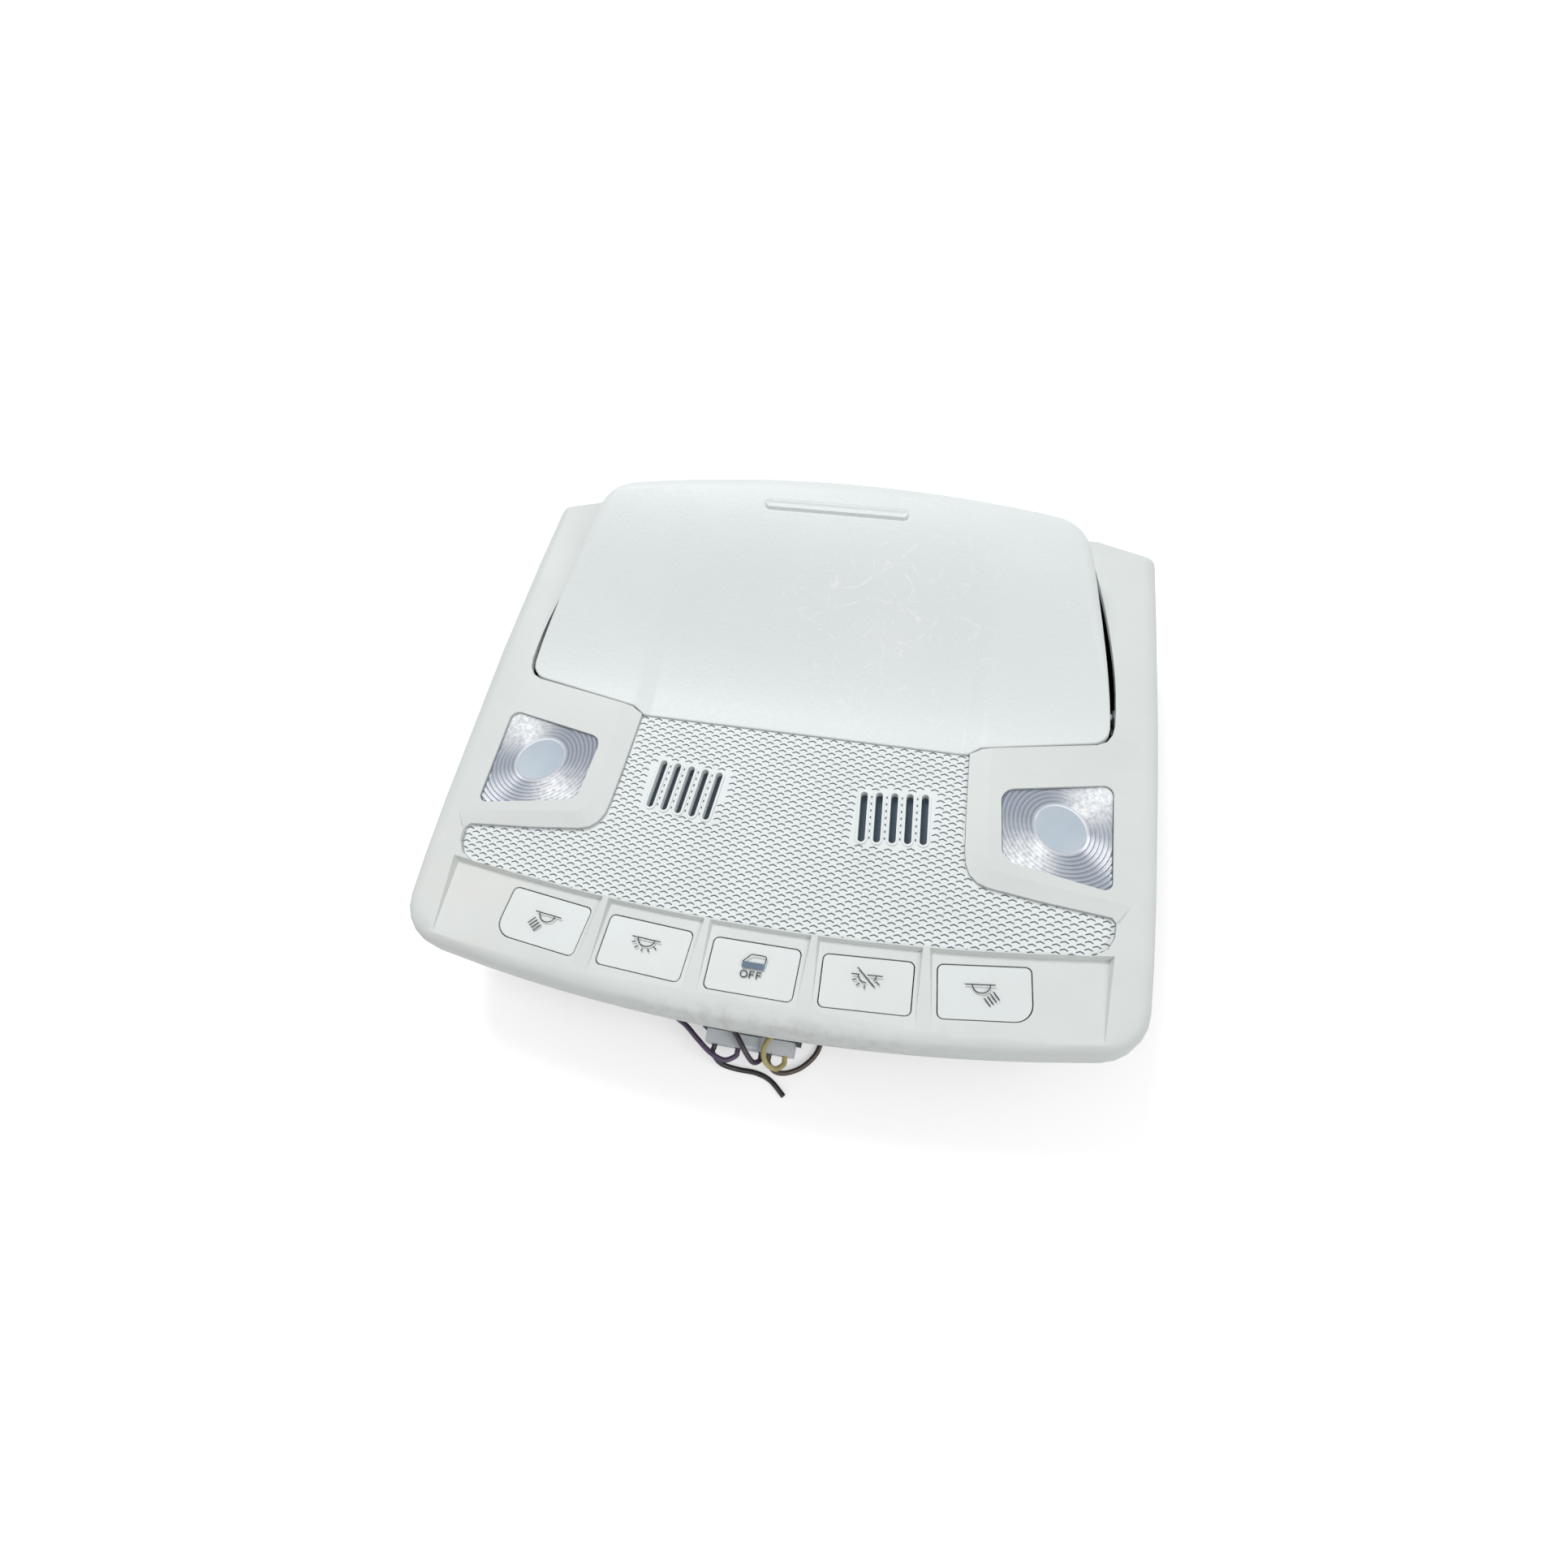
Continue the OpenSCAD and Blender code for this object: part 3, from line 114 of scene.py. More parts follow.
def way_in(i):
    """The two points on which wire i leaves the plug straight."""
    x = FIRST_CONTACT + i * CONTACT_PITCH
    return [[x, PLUG_FRONT + 1.1, WIRE_Z], [x, PLUG_FRONT - 0.9, WIRE_Z]]


ROUTES = {
    "wire_violet": way_in(3)
    + [[-6.3, -28.5, -35.4], [-9.5, -30.4, -34.5], [-14, -29, -33], [-19, -25.5, -32], [-24, -21.8, -32]]
    + [[-32, -18, -33.5], [-40, -15, -35]],
    "wire_black": way_in(0)
    + [[-13.8, -28.6, -36.2], [-11, -31, -39.5], [-6, -31.5, -42.2], [0, -31.5, -43], [5, -33, -43.1]]
    + [[10, -37, -43.1]],
    "wire_grey": way_in(6)
    + [[1.6, -28.6, -34.8], [0.2, -29.8, -31.8], [-2, -27.8, -28.4], [-5, -24, -27], [-8.5, -20.8, -26.6]]
    + [[-12, -19.6, -25.5], [-18, -19, -23]],
    "wire_yellow": way_in(9)
    + [[9.3, -28.4, -35.2], [7.2, -30.3, -34], [4.6, -29.6, -31], [3.4, -26.8, -28.4], [4.2, -23.2, -27.2]]
    + [[7, -20.4, -27], [11, -19.4, -26.5], [16, -19.4, -26]],
    "wire_brown": way_in(7)
    + [[4.3, -28.6, -36.4], [6.5, -30.5, -38.8], [10, -30, -41], [14.5, -27, -42.5], [18, -22, -43], [19, -16, -43]],
}


def swept(path, radius, sides=14):
    """A round tube: circles of the radius set square to the path, turned as little as they can be from one point of
    the path to the next, and closed at both ends by a flat cap."""
    p = np.asarray(path, float)
    ahead = np.gradient(p, axis=0)
    ahead /= np.linalg.norm(ahead, axis=1)[:, None]
    side = np.cross(ahead, [0.0, 0.3, 1.0])
    side[0] /= np.linalg.norm(side[0])
    for i in range(1, len(p)):
        side[i] = side[i - 1] - (side[i - 1] @ ahead[i]) * ahead[i]
        side[i] /= np.linalg.norm(side[i])
    over = np.cross(ahead, side)
    a = np.arange(sides) * 2 * math.pi / sides
    rings = p[:, None] + radius * (np.cos(a)[None, :, None] * side[:, None] + np.sin(a)[None, :, None] * over[:, None])
    n = len(p)
    i, k = np.meshgrid(np.arange(n - 1), np.arange(sides), indexing="ij")
    m = (k + 1) % sides
    corners = [i * sides + k, i * sides + m, (i + 1) * sides + m, (i + 1) * sides + k]
    faces = np.stack(corners, -1).reshape(-1, 4).tolist()
    faces += [list(range(sides - 1, -1, -1)), list(range((n - 1) * sides, n * sides))]
    return rings.reshape(-1, 3), faces


def wire(name, route):
    """A round insulated wire along its route, riding on the root body."""
    path = here(smooth_curve(route, 6))
    points, faces = swept(path, 0.84 * MM)
    mesh = bpy.data.meshes.new(name + "_cord")
    mesh.from_pydata(points.tolist(), [], faces)
    mesh.shade_smooth()
    mesh.set_sharp_from_angle(angle=math.radians(50))
    obj = bpy.data.objects.new(name + "_cord", mesh)
    bpy.context.collection.objects.link(obj)
    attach(obj, "root")
    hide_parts(name)
    return obj


wires = {name: wire(name, route) for name, route in ROUTES.items()}


# Materials
class Nodes:
    """A material's node tree, with one short call to add a node."""

    def __init__(self, name):
        self.material = bpy.data.materials.new(name)
        self.material.use_nodes = True
        self.tree = self.material.node_tree
        self.shader = self.tree.nodes["Principled BSDF"]

    def add(self, kind, settings=None, **inputs):
        """Adds a node; settings are its properties, inputs its sockets by name, as values or as links."""
        made = self.tree.nodes.new("ShaderNode" + kind)
        for key, value in (settings or {}).items():
            setattr(made, key, value)
        for key, value in inputs.items():
            self.put(made, key, value)
        return made

    def put(self, made, key, value):
        """Sets or links one socket; i0 is the first input, and other underscores are spaces."""
        socket = made.inputs[int(key[1:])] if key[1:].isdigit() else made.inputs[key.replace("_", " ")]
        if isinstance(value, bpy.types.NodeSocket):
            self.tree.links.new(value, socket)
        elif isinstance(value, bpy.types.Node):
            self.tree.links.new(value.outputs[0], socket)
        else:
            socket.default_value = value

    def spots(self, size_mm, detail=2.0, low=0.35, high=0.65, stretch=(1, 1, 1), kind="Noise", at=None):
        """A 0 to 1 mask of noise whose features are about size_mm."""
        place = at or self.add("TexCoord").outputs["Object"]
        scaled = self.add("Mapping", Vector=place, Scale=stretch)
        if kind == "Noise":
            source = self.add("TexNoise", Vector=scaled, Scale=1000.0 / size_mm, Detail=detail, Roughness=0.6)
        else:
            source = self.add("TexVoronoi", {"feature": "SMOOTH_F1"}, Vector=scaled, Scale=1000.0 / size_mm)
        return self.add("MapRange", i0=source.outputs[0], i1=low, i2=high, i3=0.0, i4=1.0).outputs[0]

    def tint(self, mask, first, second):
        """Mixes two colours by a mask."""
        mixed = self.add("Mix", {"data_type": "RGBA"}, i0=mask, i6=first, i7=second)
        return mixed.outputs[2]

    def times(self, a, b):
        return self.add("Math", {"operation": "MULTIPLY"}, i0=a, i1=b).outputs[0]

    def bump(self, height, depth_mm, strength=1.0, under=None):
        """A bump of depth_mm for a 0 to 1 height."""
        made = self.add("Bump", Strength=strength, Distance=depth_mm * MM, Height=height)
        if under is not None:
            self.put(made, "Normal", under)
        return made.outputs[0]


def plastic(name, base, shade, rough, grain_mm=0.5, grain_depth=0.02, patch_mm=26.0, specular=0.4, wear_and_shade=None, **more):
    """Moulded plastic: two close tones in soft patches, a fine grain in the bump and roughness that varies with it."""
    n = Nodes(name)
    patches = n.spots(patch_mm, 4.0, 0.38, 0.66)
    tone = n.tint(patches, colour(base), colour(shade))
    grain = n.spots(grain_mm, 3.0, 0.3, 0.7)
    # A layer over the tone: real wear on bezel and door, painted shade in the grille's dimples
    if wear_and_shade:
        tone = wear_and_shade(n, tone)
    n.put(n.shader, "Base Color", tone)
    spread = n.add("MapRange", i0=grain, i1=0.0, i2=1.0, i3=rough - 0.05, i4=rough + 0.06)
    n.put(n.shader, "Roughness", spread.outputs[0])
    n.put(n.shader, "Specular IOR Level", specular)
    n.put(n.shader, "Normal", n.bump(grain, grain_depth, 0.6))
    for key, value in more.items():
        n.put(n.shader, key, value)
    return n.material


def metal(name, base, shade, rough, brushed=(1, 1, 12)):
    """Plated steel with fine drawn lines."""
    n = Nodes(name)
    lines = n.spots(1.2, 3.0, 0.3, 0.7, brushed)
    n.put(n.shader, "Base Color", n.tint(lines, colour(base), colour(shade)))
    n.put(n.shader, "Metallic", 1.0)
    n.put(n.shader, "Roughness", n.add("MapRange", i0=lines, i1=0.0, i2=1.0, i3=rough, i4=rough + 0.15).outputs[0])
    n.put(n.shader, "Normal", n.bump(lines, 0.008, 0.4))
    return n.material


def fabric(name, base, shade, pitch_mm):
    """A fine weave of two crossed waves."""
    n = Nodes(name)
    place = n.add("TexCoord").outputs["Object"]
    warp = n.add("TexWave", {"bands_direction": "X"}, Vector=place, Scale=314.0 / pitch_mm, Distortion=0.4)
    weft = n.add("TexWave", {"bands_direction": "Y"}, Vector=place, Scale=314.0 / pitch_mm, Distortion=0.4)
    weave = n.add("Math", {"operation": "MAXIMUM"}, i0=warp.outputs[1], i1=weft.outputs[1]).outputs[0]
    n.put(n.shader, "Base Color", n.tint(weave, colour(base), colour(shade)))
    n.put(n.shader, "Roughness", 0.9)
    n.put(n.shader, "Sheen Weight", 0.25)
    n.put(n.shader, "Normal", n.bump(weave, pitch_mm * 0.2, 0.7))
    return n.material


def near(n, x, y, rx, ry, soft=0.6):
    """A mask round a place on the face plan, 1 at its middle."""
    place = n.add("TexCoord").outputs["Object"]
    split = n.add("SeparateXYZ", Vector=place)
    dx = n.add("Math", {"operation": "MULTIPLY_ADD"}, i0=split.outputs[0], i1=1000.0 / rx, i2=-x / rx)
    dy = n.add("Math", {"operation": "MULTIPLY_ADD"}, i0=split.outputs[1], i1=1000.0 / ry, i2=-(y - MID) / ry)
    far = n.add("Math", {"operation": "POWER"}, i0=dx, i1=2.0)
    away = n.add("Math", {"operation": "POWER"}, i0=dy, i1=2.0)
    total = n.add("Math", {"operation": "ADD"}, i0=far, i1=away)
    return n.add("MapRange", i0=total, i1=1.0, i2=1.0 - soft, i3=0.0, i4=1.0).outputs[0]


def bezel_wear(n, tone):
    """Rubbed-in dirt along the front edge, and a faint warm cast at the front corners."""
    smudge = n.times(near(n, 12.0, -25.0, 62.0, 7.0, 1.0), n.spots(3.5, 6.0, 0.45, 0.62))
    tone = n.tint(n.times(smudge, 0.3), tone, colour("#a8a5a0"))
    warm = n.times(near(n, -96.0, 2.0, 34.0, 34.0, 1.0), n.spots(14.0, 5.0, 0.35, 0.7))
    return n.tint(n.times(warm, 0.35), tone, colour("#dcd2cd"))


# Size of the noise in mm, its stretch and the size of the patches, for three sets of scratches
SCRATCHES = [(16.0, (1.0, 0.3, 1.0), 5.0), (13.0, (0.35, 1.0, 1.0), 4.0), (10.0, (0.6, 0.5, 1.0), 3.0)]


def door_wear(n, tone):
    """Short hairline scratches in the middle of the door: thin level lines of a stretched noise, kept in patches."""
    where = near(n, 22.0, 112.0, 46.0, 48.0, 1.0)
    for size, stretch, patch in SCRATCHES:
        level = n.spots(size, 1.0, 0.49, 0.51, stretch)
        hair = n.times(level, n.add("Math", {"operation": "SUBTRACT"}, i0=4.0, i1=n.times(level, 4.0)).outputs[0])
        mark = n.times(n.times(hair, n.spots(patch, 3.0, 0.5, 0.6)), where)
        tone = n.tint(n.times(mark, 0.38), tone, colour("#fbfcfb"))
    return tone


# Ivory ABS of the bezel: matt and finely grained, so light spreads in a broad soft sheen
ivory_abs = plastic("ivory_abs", "#d8dddb", "#d3d8d6", 0.5, 0.45, 0.02, 40.0, wear_and_shade=bezel_wear)
# Holder door ABS: a coarser pebbled grain that breaks up the sheen, with hairline scratches
door_abs = plastic("door_abs", "#dee5e4", "#e1e6e6", 0.46, 1.3, 0.07, 30.0, wear_and_shade=door_wear)
# Button ABS: smoother and calmer than the bezel, so each cap reads as one flat face
button_abs = plastic("button_abs", "#dbe1e0", "#d9dedd", 0.42, 0.35, 0.01, 12.0)
# Grille ABS: a crisp pale skin between the dimples
grille_abs = plastic("grille_abs", "#e4e9e9", "#e0e6e6", 0.48, 0.3, 0.01, 18.0)
# Printed pad ink: near black and flat, so symbols stay sharp
symbol_ink = plastic("symbol_ink", "#22272c", "#2a3036", 0.55, 0.2, 0.005, 3.0)
# Blue-grey pad ink of the car door in the middle symbol
door_symbol_ink = plastic("door_symbol_ink", "#5f7080", "#66788a", 0.55, 0.2, 0.005, 3.0)
# Black nylon of small moulded parts: dull with a faint mottle
black_nylon = plastic("black_nylon", "#26282a", "#2e3032", 0.5, 0.4, 0.015, 9.0)
# Charcoal polypropylene of the lamp module: a soft low sheen
module_plastic = plastic("module_plastic", "#2f3133", "#373a3c", 0.55, 0.6, 0.03, 25.0)
# Deep black polypropylene of the holder's housing, which makes the gap read dark
housing_plastic = plastic("housing_plastic", "#1d1f20", "#26282a", 0.55, 0.6, 0.03, 30.0)
# Black tub inside the holder: rougher, so it takes no highlight
tub_plastic = plastic("tub_plastic", "#212324", "#292b2d", 0.6, 0.6, 0.03, 30.0)
# Dark grey nylon of the board header: a tighter sheen
header_nylon = plastic("header_nylon", "#34383a", "#3c4143", 0.45, 0.4, 0.015, 7.0)
# Natural nylon of the plug: cool, milky and half glossy
plug_nylon = plastic("plug_nylon", "#e2e9f0", "#edf2f6", 0.3, 0.5, 0.015, 6.0)
# White acetal of striker and rotor: a waxy gloss
white_acetal = plastic("white_acetal", "#d5d9d8", "#e0e3e2", 0.32, 0.4, 0.01, 8.0)
# Silicone switch domes: pale and dull
switch_silicone = plastic("switch_silicone", "#c6c5bd", "#d2d1ca", 0.55, 0.4, 0.01, 4.0)
# Rubber boots round the microphones: black without gloss
boot_rubber = plastic("boot_rubber", "#1f2021", "#292a2b", 0.75, 0.4, 0.02, 6.0)
# Solder resist of the board: glossy green
board_resist = plastic("board_resist", "#1f4a2c", "#2a5a37", 0.35, 2.4, 0.02, 5.0)
# Zinc plated steel: bright with fine drawn lines
steel_plate = metal("steel_plate", "#b9bcc0", "#cfd1d4", 0.28)
# Spring wire: brighter, with tight highlights
spring_wire = metal("spring_wire", "#c4c7ca", "#dadcde", 0.2, (12, 1, 1))
# Dark blue weave that fills the microphone slots
slot_weave = fabric("slot_weave", "#3b4854", "#55626d", 0.5)
# Felt liner: dark and soft, without a highlight
felt = fabric("felt", "#2c2d31", "#3a3b40", 0.9)

# PVC insulation of the wires: satin gloss that draws a thin highlight along each one
WIRE_INKS = {
    "wire_violet": ("#4b3c58", "#5a4a66"), "wire_black": ("#26262a", "#34343a"), "wire_grey": ("#3b343f", "#4a434e"),
    "wire_yellow": ("#a99c62", "#bdb27c"), "wire_brown": ("#4b4038", "#5b4f46"),
}
for name, obj in wires.items():
    first, second = WIRE_INKS[name]
    obj.data.materials.append(plastic(name + "_pvc", first, second, 0.35, 0.8, 0.01, 3.0, 0.5))


def clear_plastic(name, base, rough, weight, cloud_mm=3.0, light="#dfe5ee"):
    """Tinted clear plastic or glass that lets part of the light through, slightly cloudy so that it catches light."""
    n = Nodes(name)
    cloud = n.spots(cloud_mm, 3.0, 0.3, 0.7)
    n.put(n.shader, "Base Color", n.tint(cloud, colour(base), colour(light)))
    n.put(n.shader, "Roughness", n.add("MapRange", i0=cloud, i1=0.0, i2=1.0, i3=rough, i4=rough + 0.08).outputs[0])
    n.put(n.shader, "Transmission Weight", weight)
    n.put(n.shader, "IOR", 1.49)
    return n


def prism_plastic():
    """Moulded clear polycarbonate with painted light and shade: each prism ring goes from a painted grey root to a
    painted pale crest, painted highlights lie along the line that the reflector bowl throws its light on, and a
    painted highlight ring goes round the oval; less light goes through where the highlights are painted."""
    n = clear_plastic("lens_prisms", "#98a1b0", 0.16, 0.3)
    ring = n.add("Attribute", {"attribute_name": "prism"}).outputs[2]
    fan = n.add("Attribute", {"attribute_name": "fan"}).outputs[2]
    lip = n.add("Attribute", {"attribute_name": "lip"}).outputs[2]
    # Painted shade at the root of each prism ring and a painted highlight on its crest
    tone = n.tint(ring, colour("#8d96a5"), colour("#ccd4df"))
    # Painted highlight fans, broken up into painted glints
    painted_glints = n.spots(1.4, 4.0, 0.34, 0.6)
    painted_fan_highlight = n.times(fan, n.add("MapRange", i0=painted_glints, i3=0.55, i4=1.0).outputs[0])
    tone = n.tint(painted_fan_highlight, tone, colour("#fbfdff"))
    # Painted highlight ring round the oval; where highlights are painted the lens lets less light through
    n.put(n.shader, "Base Color", n.tint(lip, tone, colour("#fbfdff")))
    bright = n.add("Math", {"operation": "MAXIMUM"}, i0=painted_fan_highlight, i1=lip).outputs[0]
    n.put(n.shader, "Transmission Weight", n.add("MapRange", i0=bright, i3=0.3, i4=0.0).outputs[0])
    return n.material


# Clear polycarbonate with prism rings: painted shade at their roots, painted highlights on their crests, two painted
# highlight fans and a painted highlight ring round the oval
lens_clear = prism_plastic()
# Frosted oval of the lens: an even cool glow without rings
lens_frost = clear_plastic("lens_frost", "#c0cfdc", 0.45, 0.25, 14.0, "#cfdbe5").material
# Bulb glass: almost clear, seen as a faint shape
bulb_glass = clear_plastic("bulb_glass", "#e6ebf0", 0.03, 0.9).material
# Metallised reflector bowl: cool and bright behind the lens
reflector_silver = metal("reflector_silver", "#b8c0cc", "#cdd4de", 0.25, (1, 1, 1))


def paint(obj, material):
    obj.data.materials.clear()
    obj.data.materials.append(material)
    if obj.type == "MESH":
        obj.data.polygons.foreach_set("material_index", np.zeros(len(obj.data.polygons), np.int32))


FINISHES = {
    "reflector_": reflector_silver, "bulb_left": bulb_glass, "bulb_right": bulb_glass, "bulb_holder_": black_nylon,
    "dome_": switch_silicone, "circuit_board": board_resist, "board_header": header_nylon, "microphone_": steel_plate,
    "acoustic_boot_": boot_rubber, "slot_cloth_": slot_weave, "module_housing": module_plastic,
    "module_screws": steel_plate, "mounting_clips": steel_plate, "bin_housing": housing_plastic,
    "bin_screws": steel_plate, "bin_tub": tub_plastic, "tub_screws": steel_plate, "bin_liner": felt,
    "hinge_pin_": steel_plate, "hinge_spring": spring_wire, "damper_body": black_nylon, "damper_rotor": white_acetal,
    "latch_body": black_nylon, "latch_striker": white_acetal, "harness_plug": plug_nylon,
}
for name, obj in nodes.items():
    for start, material in FINISHES.items():
        if name.startswith(start):
            paint(obj, material)


# Surfaces
def mesh_object(name, points, faces, body, material, flat=False, sharp=35.0):
    """A mesh from row frame points and faces, riding on a body."""
    mesh = bpy.data.meshes.new(name)
    mesh.from_pydata(np.asarray(points).tolist(), [], [list(map(int, f)) for f in faces])
    mesh.update()
    obj = bpy.data.objects.new(name, mesh)
    bpy.context.collection.objects.link(obj)
    paint(obj, material)
    if not flat:
        mesh.shade_smooth()
        mesh.set_sharp_from_angle(angle=math.radians(sharp))
    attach(obj, body)
    return obj


def apply_modifiers(obj):
    """Turns the object's modifiers into its mesh."""
    evaluated = obj.evaluated_get(bpy.context.evaluated_depsgraph_get())
    mesh = bpy.data.meshes.new_from_object(evaluated)
    old = obj.data
    obj.modifiers.clear()
    obj.data = mesh
    bpy.data.meshes.remove(old)


def cut_away(obj, points, faces):
    """Takes closed cutters, given as row frame points and faces, out of an object that rides on nothing yet."""
    mesh = bpy.data.meshes.new("cutters")
    mesh.from_pydata(points.tolist(), [], faces)
    tool = bpy.data.objects.new("cutters", mesh)
    bpy.context.collection.objects.link(tool)
    cut = obj.modifiers.new("cut", "BOOLEAN")
    cut.operation = "DIFFERENCE"
    cut.solver = "MANIFOLD"
    cut.object = tool
    apply_modifiers(obj)
    bpy.data.objects.remove(tool)
    bpy.data.meshes.remove(mesh)


def refined(node, body, material, width_mm=0.3, angle=32.0, crease=None, segments=2, even=True, cutters=None):
    """A copy of a CAD node with welded corners and rounded edges, whose flat faces keep their own normals. Slight
    folds stay crisp where the function crease says so for an edge's middle."""
    source = nodes[node]
    mesh = source.data.copy()
    mesh.name = node + "_skin"
    obj = bpy.data.objects.new(node + "_skin", mesh)
    bpy.context.collection.objects.link(obj)
    if cutters:
        b = bmesh.new()
        b.from_mesh(mesh)
        bmesh.ops.remove_doubles(b, verts=b.verts, dist=0.002 * MM)
        b.to_mesh(mesh)
        b.free()
        cut_away(obj, *cutters)
        mesh = obj.data
    b = bmesh.new()
    b.from_mesh(mesh)
    bmesh.ops.remove_doubles(b, verts=b.verts, dist=0.02 * MM)
    bmesh.ops.dissolve_limit(b, angle_limit=math.radians(0.8), verts=b.verts, edges=b.edges)
    if width_mm > 0:
        picked = [e for e in b.edges if len(e.link_faces) == 2 and e.calc_face_angle(0) > math.radians(angle)]
        bmesh.ops.bevel(b, geom=picked, offset=width_mm * MM, segments=segments, profile=0.6, affect="EDGES",
                        clamp_overlap=True, offset_type="OFFSET")
    bmesh.ops.triangulate(b, faces=[f for f in b.faces if len(f.verts) > 4])
    folds = [crease is not None and len(e.link_faces) == 2 and e.calc_face_angle(0) > math.radians(2.5)
             and crease((e.verts[0].co + e.verts[1].co) / 2) for e in b.edges]
    b.to_mesh(mesh)
    b.free()
    mesh.update()
    mesh.shade_smooth()
    mesh.set_sharp_from_angle(angle=math.radians(28))
    sharp = np.zeros(len(mesh.edges), bool)
    mesh.attributes["sharp_edge"].data.foreach_get("value", sharp)
    mesh.attributes["sharp_edge"].data.foreach_set("value", sharp | np.array(folds))
    if even:
        weighted = obj.modifiers.new("even", "WEIGHTED_NORMAL")
        weighted.keep_sharp = True
        apply_modifiers(obj)
    paint(obj, material)
    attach(obj, body)
    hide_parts(node)
    return obj


def turned(points, degrees):
    """Plan points turned about the origin."""
    c, s = math.cos(math.radians(degrees)), math.sin(math.radians(degrees))
    p = np.asarray(points, float)
    return np.column_stack([p[:, 0] * c - p[:, 1] * s, p[:, 0] * s + p[:, 1] * c])


FAN_R = 540.0
SCOOP_FRONT = -17.0
SCOOP_FALL = 1.6 / 20.2
PILLAR_LEAN = 0.45


def by_button(points, step):
    """Points of a button's own plane, put at its place on the arc of buttons, as plan points."""
    turn = step * math.degrees(math.asin(33.4 / FAN_R))
    centre = [FAN_R * math.sin(math.radians(turn)), -7.75 + FAN_R - FAN_R * math.cos(math.radians(turn))]
    return turned(points, turn) + centre


def scoop_cutters():
    """Five wedges above the sloping floors round the buttons. The floor falls by SCOOP_FALL of the way rearward from
    SCOOP_FRONT, the rear wall follows the grille's front curve, and the side walls lean out over the pillars by
    PILLAR_LEAN of their height."""
    points, faces = [], []
    for step in range(-2, 3):
        sides = []
        for hand in (-1, 1):
            front, rear = by_button([[14.75 * hand, -11.5], [14.75 * hand, 10.1]], step)
            if step == 2 * hand:
                front, rear = np.array([100.0 * hand, 0.0]), np.array([100.0 * hand, 12.0])
            way = (rear - front) / np.linalg.norm(rear - front)
            for _ in range(6):
                rear = rear + way * (3.8 + rear[0] ** 2 / 1320 - rear[1]) / way[1]
            front = rear - way * (rear[1] - SCOOP_FRONT + 0.6) / way[1]
            sides.append((front, rear))
        (a, b), (c, d) = sides
        x = np.linspace(b[0], d[0], 13)
        ring = np.vstack([[a], np.column_stack([x, 3.8 + x * x / 1320]), [c]])
        floor = -SCOOP_FALL * (ring[:, 1] - SCOOP_FRONT)
        spread = np.zeros_like(ring)
        lean = PILLAR_LEAN * (0.6 - floor)
        spread[:, 0] = lean * np.interp(ring[:, 0], [ring[:, 0].min(), ring[:, 0].max()], [-1, 1]) ** 5
        spread[1:-1, 1] = lean[1:-1]
        n = len(ring)
        points += [np.column_stack([ring, floor]), np.column_stack([ring + spread, np.full(n, 0.6)])]
        base = 2 * n * (step + 2)
        faces += [list(range(base, base + n)), list(range(base + 2 * n - 1, base + n - 1, -1))]
        faces += [[base + i, base + n + i, base + n + (i + 1) % n, base + (i + 1) % n] for i in range(n)]
    return here(np.vstack(points)), faces


def on_bezel_face(middle):
    """Whether an edge's middle lies on the bezel's face, inside its rolled rim and above the scoops' floors."""
    x, y, z = middle.x / MM, middle.y / MM + MID, middle.z / MM - FACE
    return abs(x) < 104 - 0.05 * max(0.0, y) and y > -25 + x * x / 1120 + 5.5 and -2.3 < z < 0.3


refined("bezel", "root", ivory_abs, 0.25, crease=on_bezel_face, cutters=scoop_cutters())
BUTTONS = ["button_map_left", "button_dome_on", "button_door_off", "button_lamps_off", "button_map_right"]
for name in BUTTONS:
    refined(name, name + "_body", button_abs, 0.25)


def soft_dome(name):
    """A silicone dome with a mesh of its own; its flattening under the button's stem, from 2 mm to under 0.9 mm at the
    full 1.2 mm press, is not done here.
    """
    dome = refined(name, "root", switch_silicone, 0.0)
    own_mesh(dome)
    return dome


for name in BUTTONS:
    soft_dome(name.replace("button_", "dome_"))


# Holder door
DOOR_HALF = 94.8
DOOR_WALL = 2.2
GRIP_Y = 143.0


def ease(t):
    """A smooth step from 0 to 1."""
    t = np.clip(t, 0.0, 1.0)
    return t * t * (3 - 2 * t)


def rounded_off(d, r):
    """How far a quarter round of radius r has fallen away at a distance d inside its edge."""
    return r - np.sqrt(np.maximum(0.0, r * r - np.maximum(0.0, r - d) ** 2))


def door_height(x, y):
    """Level of the door's face: an eased rise of 18.8 mm towards the rear, less a shallow channel down the middle whose
    side bands lie between 51 and 56.5 mm out and run out at the rear, less a slight crown."""
    side = np.clip((56.5 - np.abs(x)) / 5.5, 0.0, 1.0)
    channel = 1.8 * (1 - ease((y - 82) / 60)) * side
    return 18.8 * ease((y - 75) / 77) - channel - 0.8 * ease((y - 90) / 50) * (x / 85) ** 2


def finger_loop(x, y):
    """Height of the finger grip: a rounded ridge along a stadium 48 mm long, slightly hollow in the middle."""
    d = np.hypot(np.maximum(0.0, np.abs(x) - 22.3), y - GRIP_Y)
    return 0.75 * ease((1.66 - d) / 0.4) * (1 - 0.3 * ease((1.0 - d) / 0.7)) - 0.22 * np.exp(-(((d - 1.85) / 0.2) ** 2))


